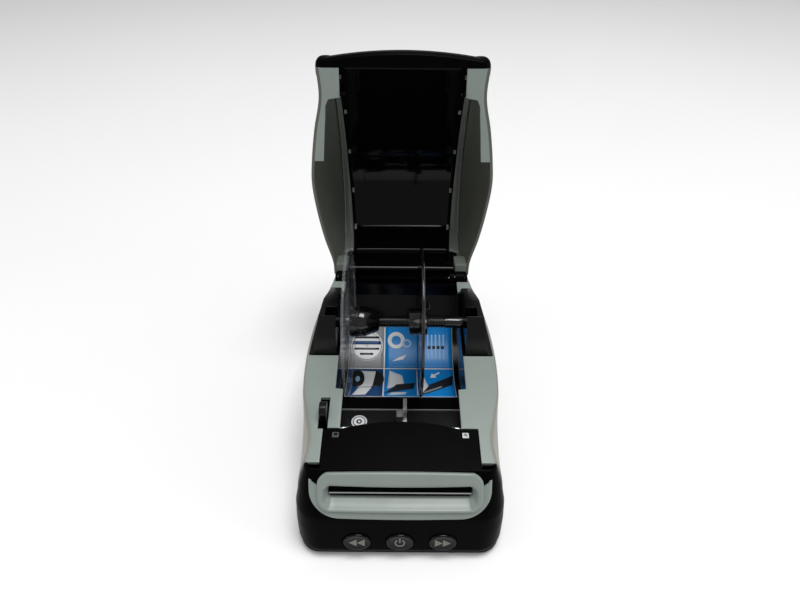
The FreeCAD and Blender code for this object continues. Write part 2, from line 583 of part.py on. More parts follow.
right_flange = rod(size_of("FlangeRadius"), SPOOL, RIGHT_FLANGE, RIGHT_FLANGE + FLANGE)
right_flange = right_flange.fuse(rod(9.0, SPOOL, RIGHT_FLANGE - 7.0, RIGHT_FLANGE + 5.0))
right_flange = right_flange.fuse(box((RIGHT_FLANGE + FLANGE - 0.2, SPOOL[0] - 3.5, SPOOL[1] + 6),
                                     (RIGHT_FLANGE + 6.5, SPOOL[0] + 3.5, SPOOL[1] + 14)))
right_flange = right_flange.cut(rod(SPINDLE + GAP, SPOOL, -60, 60))
feature("spool_flange_right", right_flange.removeSplitter())

# ---------------------------------------------------------------- label path: bed, guide, rail, sensor
DECK_Z = size_of("FeedDeckZ")
CHASSIS_X = 44.6
bed = box((-WELL + 0.2, -55.5, DECK_Z - 1.2), (WELL - 0.2, -14.2, DECK_Z))
GUIDE_TRACK = (-33.0, -29.0)
bed = bed.cut(box((-6, GUIDE_TRACK[0], DECK_Z - 2), (36, GUIDE_TRACK[1], DECK_Z + 1)))
feature("feed_bed", bed)
RAIL = (-31.0, DECK_Z - 4.6)
rail = along_x(bound("Part::Cylinder", "guide_rail", Height="2 * 42.8", Radius="1.6"))
rail.Placement = FreeCAD.Placement(Vector(-42.8, *RAIL), Rotation(Vector(0, 1, 0), 90))
register("guide_rail", rail)
guide_x = size_of("GuideX")
guide_half = size_of("GuideThickness") / 2
guide = side_prism([(-32.6, DECK_Z + 0.35), (-32.6, DECK_Z + 9), (-27, DECK_Z + 16.5), (-18.0, DECK_Z + 16.6),
                    (-15.6, DECK_Z + 13.6), (-15.6, DECK_Z + 0.35)], guide_x - guide_half, guide_x + guide_half)
guide = guide.fuse(box((guide_x - 5.5, -24.5, DECK_Z + 0.35), (guide_x - guide_half + 0.1, -19.0, DECK_Z + 6)))
guide = guide.fuse(box((guide_x - 2.5, GUIDE_TRACK[0] + 0.35, RAIL[1] - 2.6),
                       (guide_x + 2.5, GUIDE_TRACK[1] - 0.35, DECK_Z + 1.6)))
guide = guide.cut(rod(1.6 + GAP, RAIL, -20, 20))
feature("label_guide", guide.removeSplitter())
feature("label_sensor", box((-12, -50, DECK_Z - 5.2), (-4, -44, DECK_Z - 1.3)))

chassis_outline = [(-74.5, 30.0), (-74.5, 48.0), (-69.0, 55.0), (-50.0, 59.0), (-40.0, 59.0), (-22.0, 44.0),
                   (-22.0, 5.4), (-62.0, 5.4)]


def chassis(low_x, holes):
    """One steel side plate of the mechanism with its round bearing holes."""
    plate = side_prism(chassis_outline, low_x, low_x + 1.6)
    for (y, z), hole_radius in holes:
        plate = plate.cut(rod(hole_radius, (y, z), low_x - 1, low_x + 3))
    return plate


HEAD_PIVOT = (size_of("HeadPivotY"), size_of("HeadPivotZ"))
LEVER_PIVOT = (size_of("LeverPivotY"), size_of("LeverPivotZ"))
MODULE = size_of("GearModule")
TEETH = {"platen": 20, "idler": 28, "pinion": 12}
pitch = {name: MODULE * teeth / 2 for name, teeth in TEETH.items()}
reach = math.dist(PLATEN, MOTOR)
first, second = pitch["platen"] + pitch["idler"], pitch["idler"] + pitch["pinion"]
foot_length = (first ** 2 - second ** 2 + reach ** 2) / (2 * reach)
rise = math.sqrt(first ** 2 - foot_length ** 2)
unit = ((MOTOR[0] - PLATEN[0]) / reach, (MOTOR[1] - PLATEN[1]) / reach)
IDLER = (PLATEN[0] + unit[0] * foot_length - unit[1] * rise, PLATEN[1] + unit[1] * foot_length + unit[0] * rise)
SHAFT = 2.5
AXLE = 1.5
common_holes = [(PLATEN, SHAFT + GAP), (HEAD_PIVOT, 1.5 + GAP), (LEVER_PIVOT, 1.8 + GAP)]
feature("chassis_plates", group(chassis(-CHASSIS_X, common_holes),
                                chassis(CHASSIS_X - 1.6, common_holes + [(IDLER, AXLE), (MOTOR, 4.0)])))

# ---------------------------------------------------------------- drive: platen, gears and motor
platen_half = size_of("PlatenHalfLength")
feature("platen_shaft", rod(SHAFT, PLATEN, -CHASSIS_X - 2.0, CHASSIS_X + 6.0))
roller = rod(size_of("PlatenRadius"), PLATEN, -platen_half, platen_half).cut(rod(SHAFT, PLATEN, -60, 60))
feature("platen_rubber", roller)


def toothed(centre, teeth, phase, bore, low_x, high_x):
    """Spur gear with straight-sided teeth about an axis along X; phase is a tooth's angle from +Y."""
    pitch_radius = MODULE * teeth / 2
    step = 2 * math.pi / teeth
    points = []
    for number in range(teeth):
        middle = phase + number * step
        for offset, gear_radius in ((-0.29, pitch_radius - 1.05 * MODULE), (-0.115, pitch_radius + 0.75 * MODULE),
                                    (0.115, pitch_radius + 0.75 * MODULE), (0.29, pitch_radius - 1.05 * MODULE)):
            angle = middle + offset * step
            points.append((centre[0] + gear_radius * math.cos(angle), centre[1] + gear_radius * math.sin(angle)))
    return side_prism(points, low_x, high_x).cut(rod(bore, centre, low_x - 1, high_x + 1))


def bearing_angle(start, end):
    return math.atan2(end[1] - start[1], end[0] - start[0])


to_idler = bearing_angle(PLATEN, IDLER)
idler_phase = to_idler + math.pi + math.pi / TEETH["idler"]
to_pinion = bearing_angle(IDLER, MOTOR)
idler_step = 2 * math.pi / TEETH["idler"]
lag = (to_pinion - idler_phase) % idler_step
pinion_phase = to_pinion + math.pi + lag * pitch["idler"] / pitch["pinion"] + math.pi / TEETH["pinion"]
GEAR_X = (CHASSIS_X + 1.0, CHASSIS_X + 4.6)
feature("platen_gear", toothed(PLATEN, TEETH["platen"], to_idler, SHAFT, *GEAR_X))
feature("idler_gear", toothed(IDLER, TEETH["idler"], idler_phase, AXLE + GAP, *GEAR_X))
feature("idler_axle", rod(AXLE, IDLER, CHASSIS_X - 1.6, CHASSIS_X + 5.2))
pinion = toothed(MOTOR, TEETH["pinion"], pinion_phase, 0.9, *GEAR_X)
feature("motor_pinion", pinion.fuse(rod(1.0, MOTOR, CHASSIS_X - 12.0, CHASSIS_X + 5.4)).removeSplitter())
motor_radius = size_of("MotorRadius")
motor = rod(motor_radius, MOTOR, CHASSIS_X - 20.0, CHASSIS_X - 1.7)
motor = motor.fuse(box((CHASSIS_X - 3.0, MOTOR[0] - 16, MOTOR[1] - 4), (CHASSIS_X - 1.7, MOTOR[0] + 16, MOTOR[1] + 4)))
feature("stepper_motor", motor.cut(rod(1.1, MOTOR, CHASSIS_X - 13.0, CHASSIS_X)))

# ---------------------------------------------------------------- print head and its release
bracket = box((-40.0, -72.0, 50.6), (40.0, -45.0, 52.2))
bracket = bracket.fuse([box((x, -50.0, 52.0), (x + 1.6, -42.6, 56.6)) for x in (-40.0, 38.4)])
bracket = bracket.cut(rod(1.5, HEAD_PIVOT, -60, 60))
feature("head_bracket", bracket.removeSplitter())
feature("head_pivot_rod", rod(1.5, HEAD_PIVOT, -CHASSIS_X, CHASSIS_X))
feature("thermal_head", box((-34.0, -71.0, 47.3), (34.0, -54.0, 50.6)))
SPRING_FOOT = 52.2
SPRING_LENGTH = 7.2
springs = []
for spring_x in (-22.0, 22.0):
    coil = Part.makeCylinder(3.0, SPRING_LENGTH, Vector(spring_x, -60.0, SPRING_FOOT))
    springs.append(coil.cut(Part.makeCylinder(2.2, SPRING_LENGTH + 1, Vector(spring_x, -60.0, SPRING_FOOT - 0.5))))
feature("head_springs", group(*springs))
LEVER_X = size_of("LeverX")
lever = side_prism([(-42.5, 50.0), (-43.4, 60.0), (-45.0, 70.5), ((-40.0, 75.2), (-35.0, 72.0)), (-36.6, 60.0),
                    (-36.4, 50.0)], LEVER_X - 2.2, LEVER_X + 2.2)
feature("release_lever", lever.cut(rod(1.8, LEVER_PIVOT, -60, 60)))
feature("lever_shaft", rod(1.8, LEVER_PIVOT, LEVER_X - 2.2, CHASSIS_X + 0.6))

# ---------------------------------------------------------------- electronics
board_z = FLOOR_Z + WALL + 4.0
padded_body("main_board", [(-46, 16), (44, 16), (44, 88.6), (-46, 88.6)], "XY_Plane",
            "Dimensions.BoardThickness", board_z, holes=[(-42, 20, 1.6), (40, 20, 1.6)])
feature("usb_socket", box((USB[0] - 6.0, 76.0, board_z + 1.6), (USB[0] + 6.0, BACK_Y - 0.6, board_z + 12.4)).cut(
    box((USB[0] - 4.2, 80.0, board_z + 3.6), (USB[0] + 4.2, BACK_Y + 1, board_z + 10.6))))
jack = box((JACK[0] - 5.0, 78.0, board_z + 1.6), (JACK[0] + 5.0, BACK_Y - 2.4, JACK[1] + 5.0))
jack = jack.fuse(Part.makeCylinder(4.4, 2.6, Vector(JACK[0], BACK_Y - 2.8, JACK[1]), Vector(0, 1, 0)))
jack = jack.cut(Part.makeCylinder(2.9, 10.0, Vector(JACK[0], BACK_Y - 9.0, JACK[1]), Vector(0, 1, 0)))
jack = jack.fuse(Part.makeCylinder(1.0, 10.2, Vector(JACK[0], BACK_Y - 11.0, JACK[1]), Vector(0, 1, 0)))
feature("power_jack", jack.removeSplitter())
cans = [Part.makeCylinder(can_radius, height, Vector(x, y, board_z + 1.6))
        for x, y, can_radius, height in ((-34, 80, 5, 12), (-20, 80, 5, 12), (-34, 34, 4, 9), (36, 60, 4, 9))]
feature("board_capacitors", group(*cans))
button_board = box((-36, -83.6, 6.0), (36, -82.0, 24.0))
feature("button_board", button_board)
switches = [box((number * size_of("ButtonSpacing") - 3, -84.9, 11.2), (number * size_of("ButtonSpacing") + 3, -83.6, 17.2))
            for number in (-1, 0, 1)]
feature("button_switches", group(*switches))

# ---------------------------------------------------------------- feet and screws
feet = []
for foot_x in (-46.0, 46.0):
    for foot_y in (-76.0, 62.0):
        feet.append(Part.makeCylinder(size_of("FootRadius"), FLOOR_Z, Vector(foot_x, foot_y, 0)))
feature("rubber_feet", group(*feet))
screws = []
for boss_x, boss_y in BOSSES:
    shank = Part.makeCylinder(size_of("ScrewRadius"), 12.0, Vector(boss_x, boss_y, FLOOR_Z + 0.4))
    screws.append(shank)
feature("case_screws", group(*screws))

# ---------------------------------------------------------------- checks and export
doc.recompute()
faults = []
for obj in doc.Objects:
    if "Invalid" in obj.State or "Error" in obj.State:
        faults.append("%s is in state %s" % (obj.Name, obj.State))
for name, obj in sub_parts.items():
    if obj.Shape.isNull() or not obj.Shape.isValid() or not obj.Shape.Solids or obj.Shape.Volume <= 0:
        faults.append("%s has no valid solid" % name)
if faults:
    raise RuntimeError("; ".join(faults))

os.makedirs("parts", exist_ok=True)
for name, obj in sub_parts.items():
    placed = obj.Shape.copy()
    placed.translate(Vector(0, size_of("FrameShiftY"), 0))
    placed.exportStep("parts/%s.step" % name)
print("wrote", len(sub_parts), "sub-parts")
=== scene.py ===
import json
import math

import bmesh
import bpy
from mathutils import Matrix, Vector


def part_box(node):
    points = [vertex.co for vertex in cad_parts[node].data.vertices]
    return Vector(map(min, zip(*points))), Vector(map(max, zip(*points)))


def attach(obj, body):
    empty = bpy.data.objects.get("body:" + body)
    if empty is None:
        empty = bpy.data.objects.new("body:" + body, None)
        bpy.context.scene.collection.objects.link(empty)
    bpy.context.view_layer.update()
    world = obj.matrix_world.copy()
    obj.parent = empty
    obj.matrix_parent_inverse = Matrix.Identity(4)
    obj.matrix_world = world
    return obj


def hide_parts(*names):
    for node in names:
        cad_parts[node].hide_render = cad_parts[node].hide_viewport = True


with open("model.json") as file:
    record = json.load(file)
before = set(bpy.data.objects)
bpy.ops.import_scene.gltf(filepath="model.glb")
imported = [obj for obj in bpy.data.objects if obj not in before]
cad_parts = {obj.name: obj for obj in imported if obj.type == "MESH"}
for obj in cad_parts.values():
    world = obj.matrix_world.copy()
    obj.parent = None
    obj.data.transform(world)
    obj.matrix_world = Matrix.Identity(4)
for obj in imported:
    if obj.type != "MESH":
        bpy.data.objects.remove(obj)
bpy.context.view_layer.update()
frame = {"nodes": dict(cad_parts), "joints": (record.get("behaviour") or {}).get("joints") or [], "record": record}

# ------------------------------------------------------------------------------------------------
# Camera and light: a product table seen from above the front edge, under soft boxes.  The camera
# stands a third of a metre off and looks down at the open printer.
# ------------------------------------------------------------------------------------------------
# Places are in millimetres about the middle of the case.  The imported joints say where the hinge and
# the spool are in the frame, and everything else is placed from those two axes and the CAD boxes.
MM = 0.001
joints = {joint["name"]: joint for joint in frame["joints"]}
hinge_axis = Vector(joints["lid_hinge"]["pos_m"])
spool_axis = Vector(joints["spool_spin"]["pos_m"])
HINGE_Y = 78.2
CASE_SHIFT = hinge_axis.y / MM - HINGE_Y
HINGE_Z = hinge_axis.z / MM
SPOOL_Y = spool_axis.y / MM - CASE_SHIFT
SPOOL_Z = spool_axis.z / MM


def at(x, y, z):
    """A point of the case, from millimetres to the frame's metres."""
    return Vector((x, y + CASE_SHIFT, z)) * MM


LOOK_DOWN = math.radians(38.2)
camera_data = bpy.data.cameras.new("camera")
camera_data.sensor_width = 36.0
camera_data.lens = 24.84
camera = bpy.data.objects.new("camera", camera_data)
camera.location = at(-0.9, -262.5, 331.0)
camera.rotation_euler = (Matrix.Rotation(math.pi / 2 - LOOK_DOWN, 3, "X")
                         @ Matrix.Rotation(math.radians(0.4), 3, "Z")).to_euler()
bpy.context.scene.collection.objects.link(camera)
bpy.context.scene.camera = camera


def soft_box(name, place, towards, width, height, power):
    """One rectangular studio light aimed at a point."""
    data = bpy.data.lights.new(name, "AREA")
    data.shape = "RECTANGLE"
    data.size = width
    data.size_y = height
    data.energy = power
    light = bpy.data.objects.new(name, data)
    light.location = place
    light.rotation_euler = (towards - place).to_track_quat("-Z", "Y").to_euler()
    bpy.context.scene.collection.objects.link(light)


middle = at(0, 20, 90)
soft_box("key_box", at(300, -60, 2440), middle, 1.1, 1.15, 40.0)
soft_box("left_box", at(-1500, -500, 700), middle, 0.6, 0.6, 2.6)
soft_box("right_box", at(1500, -500, 700), middle, 0.6, 0.6, 3.6)
world = bpy.data.worlds.new("studio")
world.use_nodes = True
room = world.node_tree
WHITE = (1.0, 1.0, 1.0, 1.0)
fill = room.nodes["Background"]
backdrop = room.nodes.new("ShaderNodeBackground")
for glow, strength in ((fill, 0.42), (backdrop, 1.0)):
    glow.inputs["Color"].default_value = WHITE
    glow.inputs["Strength"].default_value = strength
seen = room.nodes.new("ShaderNodeLightPath")
fill_or_backdrop = room.nodes.new("ShaderNodeMixShader")
room.links.new(seen.outputs["Is Camera Ray"], fill_or_backdrop.inputs[0])
room.links.new(fill.outputs[0], fill_or_backdrop.inputs[1])
room.links.new(backdrop.outputs[0], fill_or_backdrop.inputs[2])
room.links.new(fill_or_backdrop.outputs[0], room.nodes["World Output"].inputs["Surface"])
bpy.context.scene.world = world
bpy.context.scene.view_settings.view_transform = "Standard"


# ------------------------------------------------------------------------------------------------
# Moulded plastic: every case part is injection-moulded, so its finish is a fine spark-eroded grain
# over a slightly uneven colour, with handling marks in the gloss.
# ------------------------------------------------------------------------------------------------
class Wire:
    """A socket of a material's node tree; arithmetic on it adds Math nodes."""

    def __init__(self, tree, socket=None):
        self.tree = tree
        self.socket = socket

    def add(self, kind, settings=None, sockets=None, output=0):
        """Add any node: its settings first, then the values or links of its sockets."""
        node = self.tree.nodes.new("ShaderNode" + kind)
        for key, value in (settings or {}).items():
            setattr(node, key, value)
        for key, value in (sockets or {}).items():
            if isinstance(value, Wire):
                self.tree.links.new(value.socket, node.inputs[key])
            else:
                node.inputs[key].default_value = value
        return Wire(self.tree, node.outputs[output])

    def maths(self, operation, first, second):
        """A Math node on two values or wires."""
        return self.add("Math", {"operation": operation}, {0: first, 1: second})

    def __add__(self, other):
        return self.maths("ADD", self, other)

    def __radd__(self, other):
        return self.maths("ADD", other, self)

    def __sub__(self, other):
        return self.maths("SUBTRACT", self, other)

    def __mul__(self, other):
        return self.maths("MULTIPLY", self, other)

    def __gt__(self, other):
        return self.maths("GREATER_THAN", self, other)

    def noise(self, scale, detail=2.0, rough=0.5):
        """Noise read at this vector."""
        return self.add("TexNoise", None, {"Vector": self, "Scale": scale, "Detail": detail, "Roughness": rough})

    def blend(self, low, high):
        """Mix two colours with this socket as the factor."""
        return self.add("Mix", {"data_type": "RGBA"}, {0: self, 6: low, 7: high}, output=2)


def shaded(colour, factor):
    """A colour made lighter or darker, with full alpha."""
    return (*[min(1.0, channel * factor) for channel in colour[:3]], 1.0)


def finish_material(name, colour, roughness, build, **constants):
    """A Principled material on Object coordinates; build(wire, object position) returns its varying inputs."""
    material = bpy.data.materials.new(name)
    material.use_nodes = True
    tree = material.node_tree
    shader = tree.nodes["Principled BSDF"]
    shader.inputs["Base Color"].default_value = shaded(colour, 1.0)
    shader.inputs["Roughness"].default_value = roughness
    for key, value in constants.items():
        shader.inputs[key.replace("_", " ")].default_value = value
    position = Wire(tree).add("TexCoord", output=3)
    for key, wire in build(position).items():
        tree.links.new(wire.socket, shader.inputs[key])
    return material


def moulded(name, colour, roughness, grain=0.12, scale=2600.0, unevenness=0.08, **constants):
    """Moulded plastic: grain in the normal, slow drift in colour, smudges in the gloss."""
    def build(position):
        drift = position.noise(38.0, 3.0)
        specks = position.noise(scale, 1.0)
        smudge = position.noise(90.0, 4.0, 0.65)
        dust = position.noise(5200.0, 0.0) > 0.76
        tint = drift.blend(shaded(colour, 1 - unevenness), shaded(colour, 1 + unevenness))
        dusted = (dust * 0.2).blend(tint, shaded([channel + 0.05 for channel in colour], 1.0))
        bump = position.add("Bump", None, {"Strength": grain, "Distance": 0.00008, "Height": specks})
        return {"Base Color": dusted, "Roughness": roughness + (smudge - 0.5) * 0.22 * (0.25 + roughness),
                "Normal": bump}
    return finish_material(name, colour, roughness, build, **constants)


def metal(name, colour, roughness, brush=(1.0, 40.0, 40.0), depth=0.12):
    """Bare metal drawn or rolled along one direction, with fine lines and faint stains."""
    def build(position):
        stretched = position.add("Mapping", None, {"Vector": position, "Scale": brush})
        lines = stretched.noise(700.0, 3.0, 0.6)
        stain = position.noise(60.0, 3.0)
        tint = stain.blend(shaded(colour, 0.86), shaded(colour, 1.08))
        bump = position.add("Bump", None, {"Strength": depth, "Distance": 0.00005, "Height": lines})
        return {"Base Color": tint, "Roughness": roughness + (lines - 0.5) * 0.25, "Normal": bump}
    return finish_material(name, colour, roughness, build, Metallic=1.0)


case_black = moulded("case_black_grain", (0.0014, 0.0014, 0.0017), 0.42, grain=0.35, Specular_IOR_Level=0.03)
nose_black = moulded("nose_black_satin", (0.0010, 0.0010, 0.0013), 0.30, grain=0.22, Specular_IOR_Level=0.02)
gloss_black = moulded("gloss_black_polish", (0.0012, 0.0012, 0.0016), 0.07, grain=0.01, scale=900.0,
                      Specular_IOR_Level=0.16)
spool_black = moulded("spool_black_gloss", (0.0016, 0.0016, 0.0020), 0.10, grain=0.02, scale=900.0,
                      Specular_IOR_Level=0.6)
deck_grey = moulded("deck_silver_grey", (0.222, 0.262, 0.240), 0.34, grain=0.16)
shell_grey = moulded("shell_warm_grey", (0.225, 0.225, 0.195), 0.40, grain=0.20)
# The lid wings are given a dark olive-grey below their own silver-grey: painted shade, as their inner faces fall in
# shade.
wing_painted_shade_grey = moulded("wing_grey_painted_shade", (0.105, 0.112, 0.094), 0.42, grain=0.18, Specular_IOR_Level=0.3)

# ------------------------------------------------------------------------------------------------
# Side shells: the two warm-grey flank mouldings.  They bulge low down and draw in to the seam,
# which pinches at the neck behind the exit bezel.
# ------------------------------------------------------------------------------------------------
PARTING_FRONT = (-70.8, 60.6)
PARTING_SLOPE = (HINGE_Z - PARTING_FRONT[1]) / (HINGE_Y - PARTING_FRONT[0])
SEAM = [(-71.0, 54.8), (-55.0, 53.5), (-38.0, 57.5), (-21.0, 61.3), (5.6, 62.2), (35.0, 59.4), (67.0, 52.5),
        (92.0, 48.5)]
FLANK = [(-95.0, 61.5), (-71.0, 62.6), (-40.0, 63.3), (5.6, 63.5), (35.0, 62.6), (67.0, 59.5), (92.0, 55.0)]
TRAY_TOP = 22.0
SHELL_FRONT, SHELL_LONG = -70.4, 159.2


def parting_z(y):
    """Height of the line where lid and base meet."""
    return PARTING_FRONT[1] + (y - PARTING_FRONT[0]) * PARTING_SLOPE


def flowing(table, where):
    """Smooth curve through a table of (position, value) pairs."""
    last = len(table) - 2
    span = min(last, max(0, sum(1 for position, _ in table[1:-1] if where > position)))
    (start, low), (end, high) = table[span], table[span + 1]
    before = table[max(span - 1, 0)]
    after = table[min(span + 2, len(table) - 1)]
    width = end - start
    lean_in = (high - before[1]) / (end - before[0]) * width
    lean_out = (after[1] - low) / (after[0] - start) * width
    t = (where - start) / width
    return ((2 * t ** 3 - 3 * t ** 2 + 1) * low + (t ** 3 - 2 * t ** 2 + t) * lean_in
            + (3 * t ** 2 - 2 * t ** 3) * high + (t ** 3 - t ** 2) * lean_out)


def part_from(bm, name, material, body, nodes=(), smooth=True, behind=None):
    """Turn a finished bmesh into a piece that rides on its body and stands for its CAD nodes.

    An open skin gives a point behind its outer face, so that its wall goes inwards."""
    bmesh.ops.recalc_face_normals(bm, faces=bm.faces)
    if behind is not None:
        facing = sum(face.normal.dot(face.calc_center_median() - behind) * face.calc_area() for face in bm.faces)
        if facing < 0:
            bmesh.ops.reverse_faces(bm, faces=bm.faces)
    mesh = bpy.data.meshes.new(name)
    bm.to_mesh(mesh)
    bm.free()
    piece = bpy.data.objects.new(name, mesh)
    bpy.context.scene.collection.objects.link(piece)
    mesh.materials.append(material)
    for face in mesh.polygons:
        face.use_smooth = smooth
    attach(piece, body)
    if nodes:
        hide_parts(*nodes)
    return piece


def wall(piece, thickness, offset=-1.0):
    """Give a skin its wall thickness."""
    modifier = piece.modifiers.new("wall", "SOLIDIFY")
    modifier.thickness = thickness * MM
    modifier.offset = offset
    modifier.use_even_offset = True
    return piece


def eased(piece, width, segments=2, angle=35.0):
    """Round the sharp edges of a moulding."""
    modifier = piece.modifiers.new("eased_edges", "BEVEL")
    modifier.width = width * MM
    modifier.segments = segments
    modifier.limit_method = "ANGLE"
    modifier.angle_limit = math.radians(angle)
    modifier.harden_normals = False
    return piece


def skin(across, along, shape):
    """A grid bent to shape(u, v), both from 0 to 1."""
    bm = bmesh.new()
    bmesh.ops.create_grid(bm, x_segments=across, y_segments=along, size=1.0)
    for vert in bm.verts:
        vert.co = shape((vert.co.x + 1) / 2, (vert.co.y + 1) / 2)
    return bm


def flank(side):
    """Outer face of one side shell: u runs from front to back, v from the tray up to the seam."""
    def shape(u, v):
        y = SHELL_FRONT + u * SHELL_LONG
        foot = flowing(FLANK, y)
        brow = flowing(SEAM, y) + 1.2
        top = min(parting_z(y), 82.5)
        inward = max(0.0, v - 0.97) / 0.03
        return at(side * (foot - (foot - brow) * v ** 2.2 - inward), y, TRAY_TOP + v * (top - TRAY_TOP))
    return shape


for side, hand in ((-1, "left"), (1, "right")):
    shell = part_from(skin(90, 40, flank(side)), "side_shell_skin_" + hand, shell_grey, "base",
                      ["side_shell_" + hand], behind=at(0, 0, 45))
    wall(shell, 1.9, -1.0)

# ------------------------------------------------------------------------------------------------
# Side decks: silver-grey top mouldings on each side of the well.  Their inner edge steps in beside
# the feed bed, and the left one has the slot of the release lever.
# ------------------------------------------------------------------------------------------------
DECK_FRONT = -70.5
DECK_BACK = 4.9
DECK_THICKNESS = 2.3
deck_steps = [(DECK_FRONT, 46.9), (-48.6, 46.9), (-48.5, 36.8), (-21.3, 36.8), (-20.7, 41.7), (DECK_BACK, 41.7)]
lever_low, lever_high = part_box("release_lever")


def straight(table, where):
    """Straight-line reading of a table."""
    for (start, low), (end, high) in zip(table, table[1:]):
        if where <= end:
            return low + (high - low) * (where - start) / (end - start)
    return table[-1][1]


def deck_rows():
    """Rows across the deck, close together at its steps."""
    rows = [DECK_FRONT + (DECK_BACK - DECK_FRONT) * number / 60 for number in range(61)]
    return sorted(rows + [position for position, _ in deck_steps])


def deck(side):
    """Top face of one deck: straight rows from the well's edge out to the seam."""
    rows = deck_rows()
    bm = bmesh.new()
    bmesh.ops.create_grid(bm, x_segments=8, y_segments=len(rows) - 1, size=1.0)
    for vert in bm.verts:
        y = rows[min(len(rows) - 1, round((vert.co.y + 1) / 2 * (len(rows) - 1)))]
        inner = straight(deck_steps, y)
        outer = flowing(SEAM, y) - 0.15
        x = inner + (outer - inner) * (vert.co.x + 1) / 2
        vert.co = at(side * x, y, parting_z(y))
    return bm


def carve(piece, cutter):
    """Cut one closed shape out of a piece and keep the result as its mesh."""
    modifier = piece.modifiers.new("cut", "BOOLEAN")
    modifier.object = cutter
    modifier.operation = "DIFFERENCE"
    modifier.solver = "EXACT"
    bpy.context.view_layer.update()
    depsgraph = bpy.context.evaluated_depsgraph_get()
    mesh = bpy.data.meshes.new_from_object(piece.evaluated_get(depsgraph))
    piece.modifiers.clear()
    piece.data = mesh
    bpy.data.objects.remove(cutter)
    return piece


def cutter_from(bm):
    """Make a closed bmesh into a block that cuts."""
    bmesh.ops.recalc_face_normals(bm, faces=bm.faces)
    mesh = bpy.data.meshes.new("cutter")
    bm.to_mesh(mesh)
    bm.free()
    cutter = bpy.data.objects.new("cutter", mesh)
    bpy.context.scene.collection.objects.link(cutter)
    return cutter


def plug(low, high):
    """A bare block between two corners of the frame, used as a cutter."""
    bm = bmesh.new()
    bmesh.ops.create_cube(bm, size=1.0)
    for vert in bm.verts:
        vert.co = Vector([low[k] + (high[k] - low[k]) * (vert.co[k] + 0.5) for k in range(3)])
    return cutter_from(bm)


for side, hand in ((-1, "left"), (1, "right")):
    top = part_from(deck(side), "side_deck_top_" + hand, deck_grey, "base", ["side_deck_" + hand],
                    behind=at(0, 0, -200))
    wall(top, DECK_THICKNESS, -1.0)
    if side < 0:
        slot_low = at(lever_low.x / MM - 0.8, -49.2, 55)
        slot_high = at(lever_high.x / MM + 0.8, -27.5, 80)
        carve(top, plug(slot_low, slot_high))
    eased(top, 0.55, 3)

# ------------------------------------------------------------------------------------------------
# Nose: the black front end, one moulding that wraps both corners and leans back below the bezel.
# Three oval openings take the buttons.
# ------------------------------------------------------------------------------------------------
NOSE = {"front": [(3.4, -91.2), (4.2, -93.0), (5.6, -94.3), (8.0, -95.0), (30.0, -90.4), (33.0, -89.7),
                  (36.0, -88.4), (60.2, -75.2)],
        "half": [(3.4, 58.6), (4.4, 60.6), (6.0, 61.8), (9.0, 62.6), (22.0, 62.9), (34.0, 62.3), (48.0, 59.4),
                 (60.2, 55.3)],
        "corner": [(3.4, 15.0), (8.0, 16.0), (34.0, 14.5), (48.0, 9.5), (60.2, 4.4)]}
NOSE_BACK = -70.3


def around_nose(u, height, inset):
    """Point on the nose's outline at one height: u runs from one flank round to the other."""
    half = straight(NOSE["half"], height) - inset
    front = straight(NOSE["front"], height) + inset
    radius = max(straight(NOSE["corner"], height) - inset, 1.0)
    run = NOSE_BACK - front - radius
    sweep = radius * math.pi / 2
    face = 2 * (half - radius)
    travel = u * (2 * run + 2 * sweep + face)
    mirror = 1
    if travel > run + sweep + face / 2:
        travel = 2 * run + 2 * sweep + face - travel
        mirror = -1
    if travel < run:
        return at(mirror * half, NOSE_BACK - travel, height)
    if travel < run + sweep:
        angle = (travel - run) / radius
        x = half - radius + radius * math.cos(angle)
        return at(mirror * x, front + radius - radius * math.sin(angle), height)
    return at(mirror * (half - radius - (travel - run - sweep)), front, height)


NOSE_FOOT, NOSE_TALL = 3.4, 56.5
ROLL_FROM = 0.96


def nose_shape(u, v):
    """Outer face from the foot to the top, with a rolled lip."""
    height = NOSE_FOOT + NOSE_TALL * min(v / ROLL_FROM, 1.0)
    roll = max(0.0, v - ROLL_FROM) / (1 - ROLL_FROM)
    return around_nose(u, height, 1.6 * roll)


SLOPE_TOP = Vector((-75.2, 60.2))
SLOPE_FOOT = Vector((-89.5, 34.0))
slope_down = (SLOPE_FOOT - SLOPE_TOP).normalized()
slope_out = Vector((slope_down.y, -slope_down.x))


def on_slope(x, down, out):
    """Point on the exit face: across, down the slope, out of it."""
    spot = SLOPE_TOP + slope_down * down + slope_out * out
    return at(x, spot.x, spot.y)


nose = part_from(skin(150, 60, nose_shape), "front_nose_skin", nose_black, "base", ["front_nose"],
                 behind=at(0, -72, 40))
wall(nose, 2.0, -1.0)


def slab(corners, depth):
    """A flat outline of corners pushed along a vector into a closed plate."""
    bm = bmesh.new()
    face = bm.faces.new([bm.verts.new(corner) for corner in corners])
    made = bmesh.ops.extrude_face_region(bm, geom=[face])["geom"]
    bmesh.ops.translate(bm, verts=[item for item in made if isinstance(item, bmesh.types.BMVert)], vec=depth)
    return bm


mouth = [on_slope(x, down, -8.0) for x, down in ((-46.5, 6.0), (46.5, 6.0), (46.5, 23.0), (-46.5, 23.0))]
carve(nose, cutter_from(slab(mouth, on_slope(0, 0, 12.0) - on_slope(0, 0, 0))))

BUTTON_TILT = math.atan2(5.5, 26.0)
button_out = Vector((0, -math.cos(BUTTON_TILT), math.sin(BUTTON_TILT)))
button_up = Vector((0, math.sin(BUTTON_TILT), math.cos(BUTTON_TILT)))


